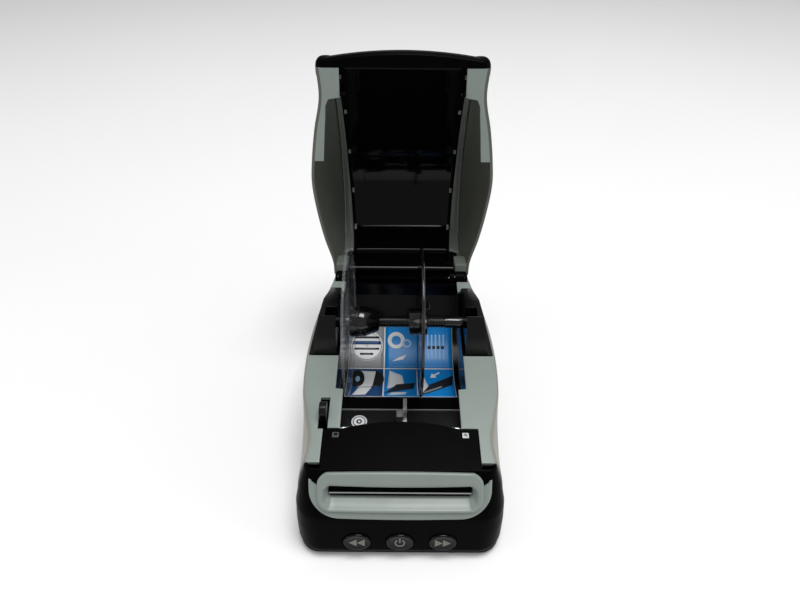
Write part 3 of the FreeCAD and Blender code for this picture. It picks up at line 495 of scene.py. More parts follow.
def oval_stack(rings, count, centre):
    """Closed oval solid from rings of (half width, half height, out), bridged one to the next."""
    bm = bmesh.new()
    loops = []
    for half_w, half_h, out in rings:
        made = bmesh.ops.create_circle(bm, cap_ends=False, segments=count, radius=1.0)["verts"]
        for vert in made:
            spot = Vector((1, 0, 0)) * vert.co.x * half_w + button_up * vert.co.y * half_h + button_out * out
            vert.co = centre + spot * MM
        loops.append(made)
    for low, high in zip(loops, loops[1:]):
        edges = [edge for edge in bm.edges if all(v in low for v in edge.verts) or all(v in high for v in edge.verts)]
        bmesh.ops.bridge_loops(bm, edges=edges)
    for loop in (loops[0], loops[-1]):
        bmesh.ops.contextual_create(bm, geom=loop)
    return bm


buttons = [("feed_back_button", "button_back"), ("power_button", "button_power"),
           ("feed_forward_button", "button_forward")]
button_face = {}
for node, _ in buttons:
    low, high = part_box(node)
    middle_of = (low + high) / 2
    button_face[node] = middle_of + button_out * 3.5 * MM
    carve(nose, cutter_from(oval_stack([(8.75, 6.85, -9.0), (8.75, 6.85, 4.0)], 48, button_face[node])))
for face in nose.data.polygons:
    face.use_smooth = True
eased(nose, 0.35, 2, 50.0)

# ------------------------------------------------------------------------------------------------
# Buttons: three oval gloss-black caps with a dished rim.  Their marks are printed shapes: two
# arrowheads to the left, a power ring, and two arrowheads to the right.
# ------------------------------------------------------------------------------------------------
mark_grey = moulded("mark_warm_grey", (0.155, 0.145, 0.125), 0.45, grain=0.05)
button_black = moulded("button_black_gloss", (0.0018, 0.0018, 0.0022), 0.2, grain=0.02, Specular_IOR_Level=0.2)
BUTTON_RINGS = [(8.0, 6.1, -6.8), (8.2, 6.3, -0.6), (8.1, 6.2, 0.05), (7.75, 5.85, 0.38), (7.2, 5.35, 0.45),
                (6.6, 4.85, 0.25), (4.0, 2.9, 0.10)]
MARK_OUT = 0.22
MARK_DEPTH = 0.12


def mark_piece(name, outline, place, body):
    """A thin printed shape standing just proud of a button's dish."""
    corners = [place + (Vector((x, 0, 0)) + button_up * z + button_out * MARK_OUT) * MM for x, z in outline]
    return part_from(slab(corners, button_out * MARK_DEPTH * MM), name, mark_grey, body, smooth=False)


def ring_outline(radius, thickness, start, end, steps=20):
    """Outline of an open ring between two angles in degrees."""
    angles = [math.radians(start + (end - start) * number / steps) for number in range(steps + 1)]
    outer = [(radius * math.cos(angle), radius * math.sin(angle)) for angle in angles]
    inner = [((radius - thickness) * math.cos(angle), (radius - thickness) * math.sin(angle)) for angle in angles]
    return outer + inner[::-1]


for node, body in buttons:
    centre = button_face[node]
    part_from(oval_stack(BUTTON_RINGS, 64, centre), node + "_cap", button_black, body, [node])
    if node == "power_button":
        mark_piece("power_ring", ring_outline(3.1, 0.85, -235, 55), centre, body)
        mark_piece("power_bar", [(-0.45, 0.2), (0.45, 0.2), (0.45, 3.7), (-0.45, 3.7)], centre, body)
    else:
        turn = -1 if node == "feed_back_button" else 1
        for number, start in enumerate((-4.7, 0.1)):
            mark_piece("%s_arrow_%d" % (body, number),
                       [(turn * start, -2.8), (turn * (start + 4.7), 0.0), (turn * start, 2.8)], centre, body)

# ------------------------------------------------------------------------------------------------
# Exit bezel: a silver-grey oval moulding round the label slot, with a crescent flange below it.
# The lower lip slopes into a dark slit where the tear bar shows as a bright line.
# ------------------------------------------------------------------------------------------------
def oval_point(angle, half, top, foot, radius, out, sag=0.0):
    """Point of a rounded rectangle in the exit face; sag drops the middle of its upper edge."""
    height = (foot - top) / 2
    radius = min(radius, height)
    across = math.cos(angle)
    rise = math.sin(angle)
    corner_x = half - radius
    corner_y = height - radius
    x = math.copysign(corner_x, across) if abs(across) > 1e-9 else 0.0
    stretch = min(1.0, abs(across) * 3.0)
    x = x * stretch + radius * across
    y = math.copysign(corner_y, rise) * min(1.0, abs(rise) * 3.0) + radius * rise
    down = (top + foot) / 2 - y
    if y > 0:
        down += sag * (1 - (x / half) ** 2)
    return on_slope(x, down, out)


def bezel_rings(rings, count=160):
    """Nested rounded rings bridged into one sculpted surface."""
    bm = bmesh.new()
    loops = []
    for half, top, foot, radius, out, sag in rings:
        made = bmesh.ops.create_circle(bm, cap_ends=False, segments=count, radius=1.0)["verts"]
        for vert in made:
            angle = math.atan2(vert.co.y, vert.co.x)
            vert.co = oval_point(angle, half, top, foot, radius, out, sag)
        loops.append(made)
    for outer, inner in zip(loops, loops[1:]):
        edges = [edge for edge in bm.edges
                 if all(v in outer for v in edge.verts) or all(v in inner for v in edge.verts)]
        bmesh.ops.bridge_loops(bm, edges=edges)
    return bm


MAIN_RINGS = [(47.6, 0.9, 25.4, 8.6, -0.6, 0.0), (47.9, 0.6, 25.6, 8.8, 1.4, 0.0), (47.5, 1.0, 25.2, 8.4, 2.2, 0.0),
              (46.7, 1.8, 24.7, 7.8, 2.55, 0.0), (45.6, 4.9, 24.3, 6.9, 2.45, 0.3), (44.9, 7.4, 23.8, 6.4, 2.1, 1.0),
              (44.4, 8.5, 23.3, 5.9, 1.5, 1.3), (43.9, 9.0, 22.7, 5.5, 0.6, 1.4), (43.0, 9.7, 21.0, 4.6, -1.1, 1.3),
              (42.2, 10.4, 19.2, 3.4, -2.4, 0.8), (42.0, 10.7, 18.6, 3.0, -3.0, 0.6),
              (42.0, 10.7, 18.6, 3.0, -7.0, 0.6)]
bezel = part_from(bezel_rings(MAIN_RINGS), "exit_bezel_frame", deck_grey, "base", ["exit_bezel"],
                  behind=on_slope(0, 13, -60))
wall(bezel, 0.8, -1.0)
CRESCENT = {"half": 52.6, "tip": 5.6, "foot": 29.6, "radius": 17.0, "band": 7.6}


def crescent_shape(u, v):
    """Horned band: u follows its U from the left tip to the right tip, v goes in from the outer edge."""
    band = CRESCENT["band"] * v
    half = CRESCENT["half"] - band
    foot = CRESCENT["foot"] - band * 0.8
    radius = max(CRESCENT["radius"] - band, 1.0)
    top = CRESCENT["tip"] + band * 0.75
    side_run = foot - radius - top
    sweep = radius * math.pi / 2
    face = 2 * (half - radius)
    travel = min(u, 1 - u) * (2 * side_run + 2 * sweep + face)
    if travel < side_run:
        x, down = half, top + travel
    elif travel < side_run + sweep:
        angle = (travel - side_run) / radius
        x, down = half - radius + radius * math.cos(angle), foot - radius + radius * math.sin(angle)
    else:
        x, down = half - radius - (travel - side_run - sweep), foot
    down += 1.3 * (1 - (x / CRESCENT["half"]) ** 2) * (1 if travel > side_run else 0) * min(1.0, (down - top) / 8)
    out = 1.25 * math.sin(min(v * 5.0, 1.0) * math.pi / 2) - 0.5 * v
    return on_slope(x if u > 0.5 else -x, down, out)


crescent = part_from(skin(161, 12, crescent_shape), "exit_bezel_crescent", deck_grey, "base",
                     behind=on_slope(0, 13, -60))
wall(crescent, 1.2, -1.0)
eased(crescent, 0.25, 2)

# ------------------------------------------------------------------------------------------------
# Tear bar: a bright steel strip pressed into the lower lip of the slot, with the dark throat of the
# feed path behind it.
# ------------------------------------------------------------------------------------------------
steel = metal("bright_steel", (0.62, 0.63, 0.64), 0.24, (1.0, 30.0, 30.0))
chrome = metal("polished_chrome", (0.86, 0.87, 0.88), 0.07, (1.0, 6.0, 6.0), 0.03)
sheet_steel = metal("zinc_sheet", (0.52, 0.53, 0.52), 0.34, (30.0, 1.0, 30.0))


def bar_between(name, corners, depth, material, body, nodes=(), ease=0.15):
    """A flat plate of four or more corners pushed back by a vector."""
    piece = part_from(slab(corners, depth), name, material, body, nodes, smooth=False)
    return eased(piece, ease, 2) if ease else piece


TEAR_HALF, THROAT_HALF, THROAT_OUT = 41.4, 43.0, -6.6
tear_depth = on_slope(0, 0, -2.2) - on_slope(0, 0, 0)
bar_between("tear_bar_blade", [on_slope(-TEAR_HALF, 15.5, -3.3), on_slope(TEAR_HALF, 15.5, -3.3),
                               on_slope(TEAR_HALF, 16.2, -3.1), on_slope(-TEAR_HALF, 16.2, -3.1)],
            tear_depth, steel, "base", ["tear_bar"], 0.0)
bar_between("slot_backing", [on_slope(x, down, THROAT_OUT) for x, down in
                             ((-THROAT_HALF, 9.5), (THROAT_HALF, 9.5), (THROAT_HALF, 21.0), (-THROAT_HALF, 21.0))],
            tear_depth * 0.2, case_black, "base", (), 0.0)

# ------------------------------------------------------------------------------------------------
# Front cover: the flat black plate over the print head, with a bowed back edge and two square
# holes for the lid's latch hooks.
# ------------------------------------------------------------------------------------------------
COVER_HALF = 46.5


def on_parting(x, y, lift):
    """Point above the sloping parting plane."""
    return at(x, y - lift * PARTING_SLOPE, parting_z(y) + lift)


cover_outline = [(-COVER_HALF, -74.6), (COVER_HALF, -74.6), (COVER_HALF, -49.2), (36.6, -49.2)]
for number in range(1, 16):
    x = 36.6 - 73.2 * number / 16
    cover_outline.append((x, -43.9 - 5.3 * (x / 36.6) ** 2))
cover_outline += [(-36.6, -49.2), (-COVER_HALF, -49.2)]
cover = bar_between("front_cover_plate", [on_parting(x, y, 0.0) for x, y in cover_outline],
                    Vector((0, 0, -2.3)) * MM, nose_black, "base", ["front_cover"], 0.0)
SOCKET_SIDE = 1.95
SOCKET_FRONT, SOCKET_BACK = -54.6, -50.7
SOCKET_LIP, SOCKET_BOTTOM = -1.0, -3.3
socket_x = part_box("latch_sockets")[1].x / MM - 1.8
socket_inks = {-1: moulded("socket_dark_grey", (0.06, 0.062, 0.07), 0.4),
               1: moulded("socket_pale", (0.7, 0.71, 0.72), 0.3)}
for side, hand in ((-1, "left"), (1, "right")):
    x = side * socket_x
    for name, depth, thick in (("cup", SOCKET_LIP, SOCKET_BOTTOM - SOCKET_LIP), ("floor", SOCKET_BOTTOM, -0.6)):
        corners = [on_parting(x - SOCKET_SIDE, SOCKET_FRONT, depth), on_parting(x + SOCKET_SIDE, SOCKET_FRONT, depth),
                   on_parting(x + SOCKET_SIDE, SOCKET_BACK, depth), on_parting(x - SOCKET_SIDE, SOCKET_BACK, depth)]
        piece = bar_between("latch_socket_" + name + "_" + hand, corners, Vector((0, 0, thick)) * MM, socket_inks[side],
                            "base", ["latch_sockets"] if (side, name) == (1, "floor") else (), 0.0)
        if name == "cup":
            carve(piece, plug(at(x - 1.15, SOCKET_FRONT + 0.7, 50), at(x + 1.15, SOCKET_BACK - 0.4, 80)))
    carve(cover, plug(at(x - SOCKET_SIDE, SOCKET_FRONT, 50), at(x + SOCKET_SIDE, SOCKET_BACK, 80)))
eased(cover, 0.4, 3)

# ------------------------------------------------------------------------------------------------
# Cradles, lever and the other small mouldings: their CAD shapes are right, so each is copied,
# its flat facets are joined and its edges are given the small radii of a moulding tool.
# ------------------------------------------------------------------------------------------------
def softened(node, width, material, segments=3, angle=32.0, join=1.5):
    """A copy of a CAD node with eased edges, standing for it."""
    source = frame["nodes"][node]
    record = frame["record"]
    bm = bmesh.new()
    bm.from_mesh(source.data)
    bmesh.ops.remove_doubles(bm, verts=bm.verts, dist=0.000005)
    bmesh.ops.dissolve_limit(bm, angle_limit=math.radians(join), verts=bm.verts, edges=bm.edges)
    body = next(name for name, members in record["behaviour"]["bodies"].items() if node in members)
    piece = bpy.data.objects.new(node + "_form", bpy.data.meshes.new(node + "_form"))
    bm.to_mesh(piece.data)
    bm.free()
    bpy.context.scene.collection.objects.link(piece)
    piece.data.materials.append(material)
    for face in piece.data.polygons:
        face.use_smooth = True
    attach(piece, body)
    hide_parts(node)
    eased(piece, width, segments, angle)
    flat_faces = piece.modifiers.new("flat_faces", "WEIGHTED_NORMAL")
    flat_faces.keep_sharp = True
    return piece


cradle_black = moulded("cradle_black_satin", (0.0022, 0.0022, 0.0026), 0.24, grain=0.12, Specular_IOR_Level=0.25)
softened("cradle_left", 1.3, cradle_black, 4)
softened("cradle_right", 1.3, cradle_black, 4)
softened("release_lever", 1.1, cradle_black, 4)
softened("rear_deck", 0.4, deck_grey)
softened("rear_panel", 0.6, case_black)
softened("hinge_brackets", 0.3, case_black)
softened("lid_hinge_barrels", 0.35, case_black)
softened("lid_latch_hooks", 0.2, case_black)
softened("rubber_feet", 0.6, moulded("foot_rubber", (0.018, 0.018, 0.019), 0.75, grain=0.5))

# ------------------------------------------------------------------------------------------------
# Lid wings and roof: two thin silver-grey side mouldings with a polished black roof between them; the wings carry a
# darker olive-grey, which is painted shade of their inner faces.  They are snapped together along the shoulder, and the
# whole lid stands open about the hinge.
# ------------------------------------------------------------------------------------------------
LID_OPEN = math.radians(83.1)
rim_way = Vector((0, math.cos(LID_OPEN), math.sin(LID_OPEN)))
rim_out = Vector((0, math.sin(LID_OPEN), -math.cos(LID_OPEN)))


def in_lid(x, chord, height):
    """Point of the open lid: across, along the rim from the hinge, and out from the rim plane."""
    return hinge_axis + (Vector((x, 0, 0)) + rim_way * chord + rim_out * height) * MM


RIM_HALF = [(2.0, 50.6), (13.0, 51.2), (31.0, 56.1), (50.6, 59.9), (72.8, 62.4), (89.0, 61.3), (110.0, 58.1),
            (131.0, 53.7), (151.0, 54.9)]
ROOF = [(2.0, 7.0), (5.0, 33.0), (8.5, 43.0), (13.0, 52.0), (31.0, 66.0), (50.6, 72.6), (72.8, 71.2), (89.0, 65.6),
        (110.0, 53.0), (131.0, 35.0), (148.0, 16.0)]
ROOF_HALF = 44.0
EDGE = 0.965
FIRST_CHORD = 2.4
LAST_CHORD = 148.0


def crown(chord):
    """Height of the roof's middle; straight near the hinge, where it is steep, and flowing above."""
    return straight(ROOF, chord) if chord < 13.0 else flowing(ROOF[3:], chord)


def wing_shape(side):
    """Outer face of one wing: u along the rim, v from the rim up to the roof's edge."""
    def shape(u, v):
        chord = FIRST_CHORD + (LAST_CHORD - FIRST_CHORD) * u ** 1.25
        half = flowing(RIM_HALF, chord)
        tall = crown(chord) * EDGE
        lean = half - ROOF_HALF - 0.2
        bulge = v ** 2.4
        x = half - lean * bulge
        height = 0.3 + (tall - 0.3) * (1 - (1 - v) ** 1.15)
        return in_lid(side * x, chord, height)
    return shape


for side, hand in ((-1, "left"), (1, "right")):
    wing = part_from(skin(80, 36, wing_shape(side)), "lid_wing_skin_" + hand, wing_painted_shade_grey, "lid",
                     ["lid_wing_" + hand], behind=in_lid(0, 80, 20))
    wall(wing, 1.9, -1.0)
    eased(wing, 0.3, 2)


def roof_shape(u, v):
    """Outer face of the roof with rounded shoulders."""
    chord = 2.0 + (LAST_CHORD - 2.0) * v ** 1.2
    x = (2 * u - 1) * ROOF_HALF
    tall = crown(chord)
    return in_lid(x, chord, tall * (1 - (1 - EDGE) * abs(2 * u - 1) ** 2.6))


roof = part_from(skin(36, 90, roof_shape), "lid_roof_skin", gloss_black, "lid", ["lid_roof"],
                 behind=in_lid(0, 80, 10))
wall(roof, 1.8, -1.0)

# ------------------------------------------------------------------------------------------------
# Lid liner: the gloss-black inner moulding that follows the roof a few millimetres below it.  Its
# polish mirrors the well, and small clips along both edges hold it to the roof.
# ------------------------------------------------------------------------------------------------
LINER_HALF = [(6.0, 37.0), (31.0, 39.5), (72.8, 42.0), (148.0, 42.4)]


def liner_line(chord):
    """Height of the liner along its middle, eased over a few millimetres so that it is one sweep."""
    reach = min(7.5, chord - 5.4, 150.0 - chord)
    total = 0.0
    for step in range(-6, 7):
        place = chord + reach * step / 6
        rise = (crown(place + 1) - crown(place - 1)) / 2
        total += EDGE * crown(place) - 2.0 * math.sqrt(1 + rise * rise) - 0.9
    return total / 13


def liner_shape(u, v):
    """Inner liner, a smooth curve a few millimetres under the roof."""
    chord = 7.0 + (146.5 - 7.0) * v
    x = (2 * u - 1) * (flowing(LINER_HALF, chord) + 0.9)
    return in_lid(x, chord, liner_line(chord) + 0.4 * (1 - (2 * u - 1) ** 2))


liner = part_from(skin(30, 120, liner_shape), "lid_liner_skin", gloss_black, "lid", ["lid_liner"])
wall(liner, 1.2, 0.0)

# ------------------------------------------------------------------------------------------------
# Lid trim and feet: a grey band moulded with each wing closes the gap to the liner and faces the
# opening, and a grey foot at its lower end stands over the hinge.
# ------------------------------------------------------------------------------------------------
trim_grey = moulded("trim_grey", (0.150, 0.168, 0.150), 0.30, grain=0.12)


def trim_shape(side):
    """Band from the liner's edge to the wing, a little nearer the opening."""
    def shape(u, v):
        chord = 7.4 + 122.4 * u
        inner = flowing(LINER_HALF, chord) + 1.0
        outer = 45.4 + 1.2 * math.sin(math.pi * u)
        return in_lid(side * (inner + (outer - inner) * v), chord, liner_line(chord) - 1.4 - 4.5 * v * v)
    return shape


for side, hand in ((-1, "left"), (1, "right")):
    trim = part_from(skin(90, 6, trim_shape(side)), "lid_trim_" + hand, trim_grey, "lid",
                     behind=in_lid(0, 70, 200))
    wall(trim, 0.8, -1.0)
    foot = [in_lid(side * x, chord, 0.35) for x, chord in ((40.2, 4.6), (50.4, 4.6), (50.9, 10.6), (40.2, 10.6))]
    bar_between("lid_foot_" + hand, foot, rim_out * 15.0 * MM, trim_grey, "lid", (), 0.6)


# ------------------------------------------------------------------------------------------------
# Lid edge strips: pale mouldings let into the front half of each wing's rim, where the closed lid
# rests on the decks.  Each widens to a block beside the cap.
# ------------------------------------------------------------------------------------------------
STRIP_INNER = [(89.0, 53.2), (100.0, 52.2), (110.0, 51.3), (118.0, 50.4), (125.0, 49.9), (129.3, 47.8), (130.2, 40.4),
               (148.0, 40.2)]


def strip_shape(side):
    """The light edge strip inside the front half of a wing's rim; it widens to a block at the free end."""
    def shape(u, v):
        chord = STRIP_INNER[0][0] + (LAST_CHORD - STRIP_INNER[0][0]) * u
        outer = flowing(RIM_HALF, chord) - 1.0
        return in_lid(side * (outer + (straight(STRIP_INNER, chord) - outer) * v), chord, 0.3 + 0.15 * v)
    return shape


strips = bmesh.new()
for side in (-1, 1):
    half_strip = skin(118, 6, strip_shape(side))
    spare = bpy.data.meshes.new("half_strip")
    half_strip.to_mesh(spare)
    half_strip.free()
    strips.from_mesh(spare)
edge_strips = part_from(strips, "lid_edge_strip_pair", deck_grey, "lid", ["lid_edge_strips"],
                        behind=in_lid(0, 120, 40))
wall(edge_strips, 1.8, -1.0)
eased(edge_strips, 0.35, 2)

# ------------------------------------------------------------------------------------------------
# Lid cap: the bowed black grip across the lid's free end, moulded in one with a rounded knob at each
# corner.  It closes down on the top of the nose.
# ------------------------------------------------------------------------------------------------
CAP_PROFILE = [(148.1, 0.4), (151.4, 0.4), (152.9, 2.4), (153.4, 6.5), (152.9, 11.2), (151.0, 14.8), (148.1, 16.4)]
CAP_HALF = 51.0


def cap_shape(u, v):
    """Free end of the lid: its profile swept across, bowed forward in the middle."""
    across = 2 * u - 1
    place = v * (len(CAP_PROFILE) - 1)
    number = min(int(place), len(CAP_PROFILE) - 2)
    part = place - number
    chord = CAP_PROFILE[number][0] * (1 - part) + CAP_PROFILE[number + 1][0] * part
    height = CAP_PROFILE[number][1] * (1 - part) + CAP_PROFILE[number + 1][1] * part
    bow = 4.4 * (1 - across ** 2) * min(1.0, (chord - 148.1) / 3.0)
    droop = 1.0 - 0.06 * abs(across) ** 8
    return in_lid(across * CAP_HALF, chord + bow, height * droop)


cap = part_from(skin(60, 24, cap_shape), "lid_front_cap_skin", nose_black, "lid", ["lid_front_cap"],
                behind=in_lid(0, 120, 8))
wall(cap, 1.6, -1.0)
eased(cap, 0.4, 2)
CORNER_SIZE = (6.6, 7.6, 7.3)
CORNER_POWER = 0.72
for side, hand in ((-1, "left"), (1, "right")):
    bm = bmesh.new()
    bmesh.ops.create_uvsphere(bm, u_segments=40, v_segments=24, radius=1.0)
    for vert in bm.verts:
        across, along_rim, outward = [math.copysign(abs(value) ** CORNER_POWER, value) * size
                                      for value, size in zip(vert.co, CORNER_SIZE)]
        vert.co = in_lid(side * 49.0 + across, 146.6 + along_rim, 8.4 + outward)
    part_from(bm, "lid_cap_corner_" + hand, nose_black, "lid")

# ------------------------------------------------------------------------------------------------
# Hinge lip: the lower end of the roof curls round the hinge as a black lip, so that no light comes
# through behind the well.  It turns with the lid.
# ------------------------------------------------------------------------------------------------
LIP_RADIUS = 6.4
LIP_HALF = 50.4
LIP_TOP = 42


def lip_shape(u, v):
    """Arc about the hinge axis, from the roof's edge down behind the well."""
    x = (2 * u - 1) * LIP_HALF
    reach = 94 if abs(x) < 36.4 else 62
    angle = math.radians(LIP_TOP - reach * v)
    return hinge_axis + Vector((x, LIP_RADIUS * math.cos(angle), LIP_RADIUS * math.sin(angle))) * MM


hinge_lip = part_from(skin(84, 24, lip_shape), "lid_hinge_lip", nose_black, "lid", behind=hinge_axis)
wall(hinge_lip, 1.0, -1.0)

# ------------------------------------------------------------------------------------------------
# Spool: a toothed gloss-black spindle, a hub with a cone, a clear flange on the left and a black
# flange on the right that slides along the teeth.
# ------------------------------------------------------------------------------------------------
def turned(profile, steps=120):
    """A shape turned about the spool's axis from (x, radius) points."""
    bm = bmesh.new()
    verts = [bm.verts.new(Vector((x * MM, 0, radius * MM)) + Vector((0, spool_axis.y, spool_axis.z)))
             for x, radius in profile]
    edges = [bm.edges.new(pair) for pair in zip(verts, verts[1:] + verts[:1])]
    bmesh.ops.spin(bm, geom=verts + edges, cent=spool_axis, axis=(1, 0, 0), angle=2 * math.pi, steps=steps,
                   use_merge=True)
    bmesh.ops.remove_doubles(bm, verts=bm.verts, dist=0.000002)
    return bm


def clear_build(position):
    """Clear styrene with faint smears in its gloss and haze."""
    smear = position.noise(70.0, 4.0, 0.6)
    return {"Roughness": 0.04 + smear * 0.10, "Alpha": 0.10 + smear * 0.16}


clear_flange = finish_material("clear_styrene", (0.42, 0.44, 0.46), 0.06, clear_build, Coat_Weight=0.6)
clear_flange.surface_render_method = "BLENDED"
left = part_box("spool_flange_left")[0].x / MM
flange_radius = (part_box("spool_flange_left")[1].z - spool_axis.z) / MM
part_from(turned([(left, 4.1), (left, flange_radius - 0.4), (left + 0.3, flange_radius), (left + 1.4, flange_radius),
                  (left + 1.6, flange_radius - 1.2), (left + 1.15, flange_radius - 2.0), (left + 1.15, 12.5),
                  (left + 1.6, 12.0), (left + 1.6, 4.1)]),
          "spool_flange_clear", clear_flange, "spool", ["spool_flange_left"])
hub_low, hub_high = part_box("spool_hub")
hub_start = hub_low.x / MM
hub_end = hub_high.x / MM
part_from(turned([(hub_start, 4.05), (hub_start, 9.6), (hub_start + 0.5, 10.2), (hub_start + 9.4, 10.2),
                  (hub_start + 10.2, 9.9), (hub_end - 1.0, 6.5), (hub_end - 0.3, 5.9), (hub_end, 5.3),
                  (hub_end, 4.05)]),
          "spool_hub_cone", spool_black, "spool", ["spool_hub"])
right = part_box("spool_flange_right")[0].x / MM + 7.0
part_from(turned([(right - 7.0, 4.1), (right - 7.0, 8.5), (right - 6.5, 9.0), (right - 0.5, 9.0), (right, 10.0),
                  (right + 0.1, flange_radius - 2.2), (right - 0.25, flange_radius - 1.4), (right, flange_radius - 0.3),
                  (right + 0.4, flange_radius), (right + 1.2, flange_radius), (right + 1.6, flange_radius - 0.4),
                  (right + 1.6, 10.0), (right + 2.2, 9.0), (right + 4.6, 9.0), (right + 5.0, 8.5), (right + 5.0, 4.1)]),
          "spool_flange_black", spool_black, "guide_flange", ["spool_flange_right"])
ribs = [(-50.0, 3.6), (-49.6, 4.0), (-18.3, 4.0)]
for number in range(26):
    start = -18.0 + 1.85 * number
    ribs += [(start, 3.35), (start + 0.75, 3.35), (start + 0.95, 3.85), (start + 1.25, 4.0), (start + 1.55, 3.85)]
ribs += [(30.4, 4.0), (49.6, 4.0), (50.0, 3.6)]
part_from(turned([(-50.0, 0.05)] + ribs + [(50.0, 0.05)], 64), "spool_spindle_ribbed", spool_black, "spool",
          ["spool_spindle"])
tab = plug(Vector(((right + 1.5) * MM, spool_axis.y - 3.5 * MM, spool_axis.z + 6 * MM)),
           Vector(((right + 6.5) * MM, spool_axis.y + 3.5 * MM, spool_axis.z + 14 * MM)))
tab.name = "flange_lock_tab"
tab.data.materials.append(cradle_black)
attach(tab, "guide_flange")
eased(tab, 0.6, 3)

# ------------------------------------------------------------------------------------------------
# Instruction sticker: printed film round the back of the well, with plain loading pictures: a
# badge, a ring and bars, rolls of labels, and a printer with its strip.  It carries no words.
# ------------------------------------------------------------------------------------------------
WELL_RADIUS = 54.0


def ink(name, colour, rough=0.32):
    """Printed film: flat colour with a faint halftone and gloss variation."""
    def build(position):
        dots = position.noise(2400.0, 0.0)
        cloud = position.noise(60.0, 3.0)
        tint = (dots * 0.5 + cloud * 0.5).blend(shaded(colour, 0.88), shaded(colour, 1.12))
        return {"Base Color": tint, "Roughness": rough + (cloud - 0.5) * 0.12}
    return finish_material(name, colour, rough, build, Specular_IOR_Level=0.25)


inks = {"blue": ink("ink_blue", (0.004, 0.215, 0.60)), "pale": ink("ink_pale_blue", (0.30, 0.52, 0.76)),
        "white": ink("ink_white", (0.72, 0.74, 0.75)), "grey": ink("ink_grey", (0.28, 0.29, 0.30)),
        "dark": ink("ink_dark", (0.012, 0.013, 0.016)), "sky": ink("ink_sky", (0.004, 0.225, 0.64)),
        "navy": ink("ink_navy", (0.006, 0.05, 0.17))}


def round_well(x, degrees, lift):
    """Point on the trough's face at an angle about the spool's axis."""
    angle = math.radians(degrees)
    distance = WELL_RADIUS - lift
    return at(x, SPOOL_Y + distance * math.cos(angle), SPOOL_Z + distance * math.sin(angle))


def print_patch(name, colour, x_low, x_high, low, high, lift, nodes=()):
    """A rectangle of print bent round the trough between two angles."""
    bm = skin(max(2, int((x_high - x_low) / 3)), max(3, int((high - low) / 2)),
              lambda u, v: round_well(x_low + (x_high - x_low) * u, low + (high - low) * v, lift))
    piece = part_from(bm, name, inks[colour], "base", nodes)
    return wall(piece, 0.04, 0.0)


def print_disc(name, colour, x, angle, radius, lift, hole=0.05, squash=1.0):
    """A disc or ring of print bent round the trough."""
    bm = skin(48, 6, lambda u, v: Vector((math.cos(u * 2 * math.pi), squash * math.sin(u * 2 * math.pi), 0))
              * (hole + (radius - hole) * v))
    bmesh.ops.remove_doubles(bm, verts=bm.verts, dist=0.0001)
    for vert in bm.verts:
        vert.co = round_well(x + vert.co.x, angle + math.degrees(vert.co.y / WELL_RADIUS), lift)
    piece = part_from(bm, name, inks[colour], "base")
    return wall(piece, 0.04, 0.0)


def print_shape(name, colour, corners, lift):
    """A four-cornered printed shape bent round the trough, from (x, angle) corners in order."""
    low_left, low_right, high_right, high_left = [Vector((x, angle)) for x, angle in corners]

    def shape(u, v):
        spot = low_left.lerp(low_right, u).lerp(high_left.lerp(high_right, u), v)
        return round_well(spot.x, spot.y, lift)
    return wall(part_from(skin(8, 8, shape), name, inks[colour], "base"), 0.04, 0.0)


STICKER_LOW, STICKER_SPLIT, STICKER_HIGH = 244.0, 279.0, 322.0
print_patch("sticker_film", "white", -39.4, 39.4, STICKER_LOW, STICKER_HIGH, 0.12, ["instruction_sticker"])
SPLIT_X = -12.4
EDGE_X = 39.0
LINE = 0.5
for name, colour, x_low, x_high, low, high in (
        ("print_upper_left", "grey", -EDGE_X, SPLIT_X - LINE, STICKER_SPLIT + LINE, STICKER_HIGH - LINE),
        ("print_upper_right", "blue", SPLIT_X + LINE, EDGE_X, STICKER_SPLIT + LINE, STICKER_HIGH - LINE),
        ("print_lower_left", "navy", -EDGE_X, SPLIT_X - LINE, STICKER_LOW + LINE, STICKER_SPLIT - LINE),
        ("print_lower_right", "sky", SPLIT_X + LINE, EDGE_X, STICKER_LOW + LINE, STICKER_SPLIT - LINE)):
    print_patch(name, colour, x_low, x_high, low, high, 0.20)
BADGE = (-26.0, 299.0)
print_disc("badge_disc", "white", *BADGE, 12.4, 0.28)
print_disc("badge_ring", "dark", *BADGE, 11.2, 0.32, 10.8)
print_patch("badge_band", "navy", -36.5, -15.5, 300.5, 303.4, 0.36)
for number, (start, end, low) in enumerate(((-35.5, -16.5, 305.6), (-35.5, -16.5, 296.0), (-31.0, -21.0, 291.5),
                                            (-32.0, -20.0, 310.0))):
    print_patch("badge_line_%d" % number, "dark", start, end, low, low + 1.7, 0.36)
print_disc("blue_ring", "white", -3.6, 304.0, 6.6, 0.28, 3.6)
print_disc("blue_ring_small", "pale", 4.6, 301.5, 3.4, 0.30, 1.9)
print_shape("blue_sheet", "white", [(-7.0, 285.5), (2.0, 287.5), (4.6, 292.0), (-1.6, 289.5)], 0.30)
print_shape("tag_white", "white", [(12.2, 283.0), (17.2, 284.0), (18.4, 301.0), (13.0, 300.0)], 0.34)
for number in range(5):
    print_patch("tag_bar_%d" % number, "pale", 20.0 + 3.0 * number, 21.2 + 3.0 * number, 287.0, 309.0, 0.28)
for number in range(4):
    print_patch("tag_dash_%d" % number, "dark", 20.5 + 3.4 * number, 22.8 + 3.4 * number, 297.0, 299.6, 0.34)
print_disc("roll_back", "dark", -18.6, 268.0, 6.4, 0.28, 0.05, 1.35)
print_shape("roll_body", "white", [(-31.5, 258.5), (-20.5, 259.5), (-18.5, 276.0), (-30.5, 276.5)], 0.32)
print_disc("roll_front", "dark", -31.5, 268.0, 5.0, 0.36, 0.05, 1.75)
print_disc("roll_bore", "pale", -31.5, 268.0, 1.7, 0.40, 0.05, 1.75)
print_shape("roll_tail", "white", [(-34.5, 246.5), (-25.0, 247.5), (-20.6, 259.0), (-30.4, 258.2)], 0.30)
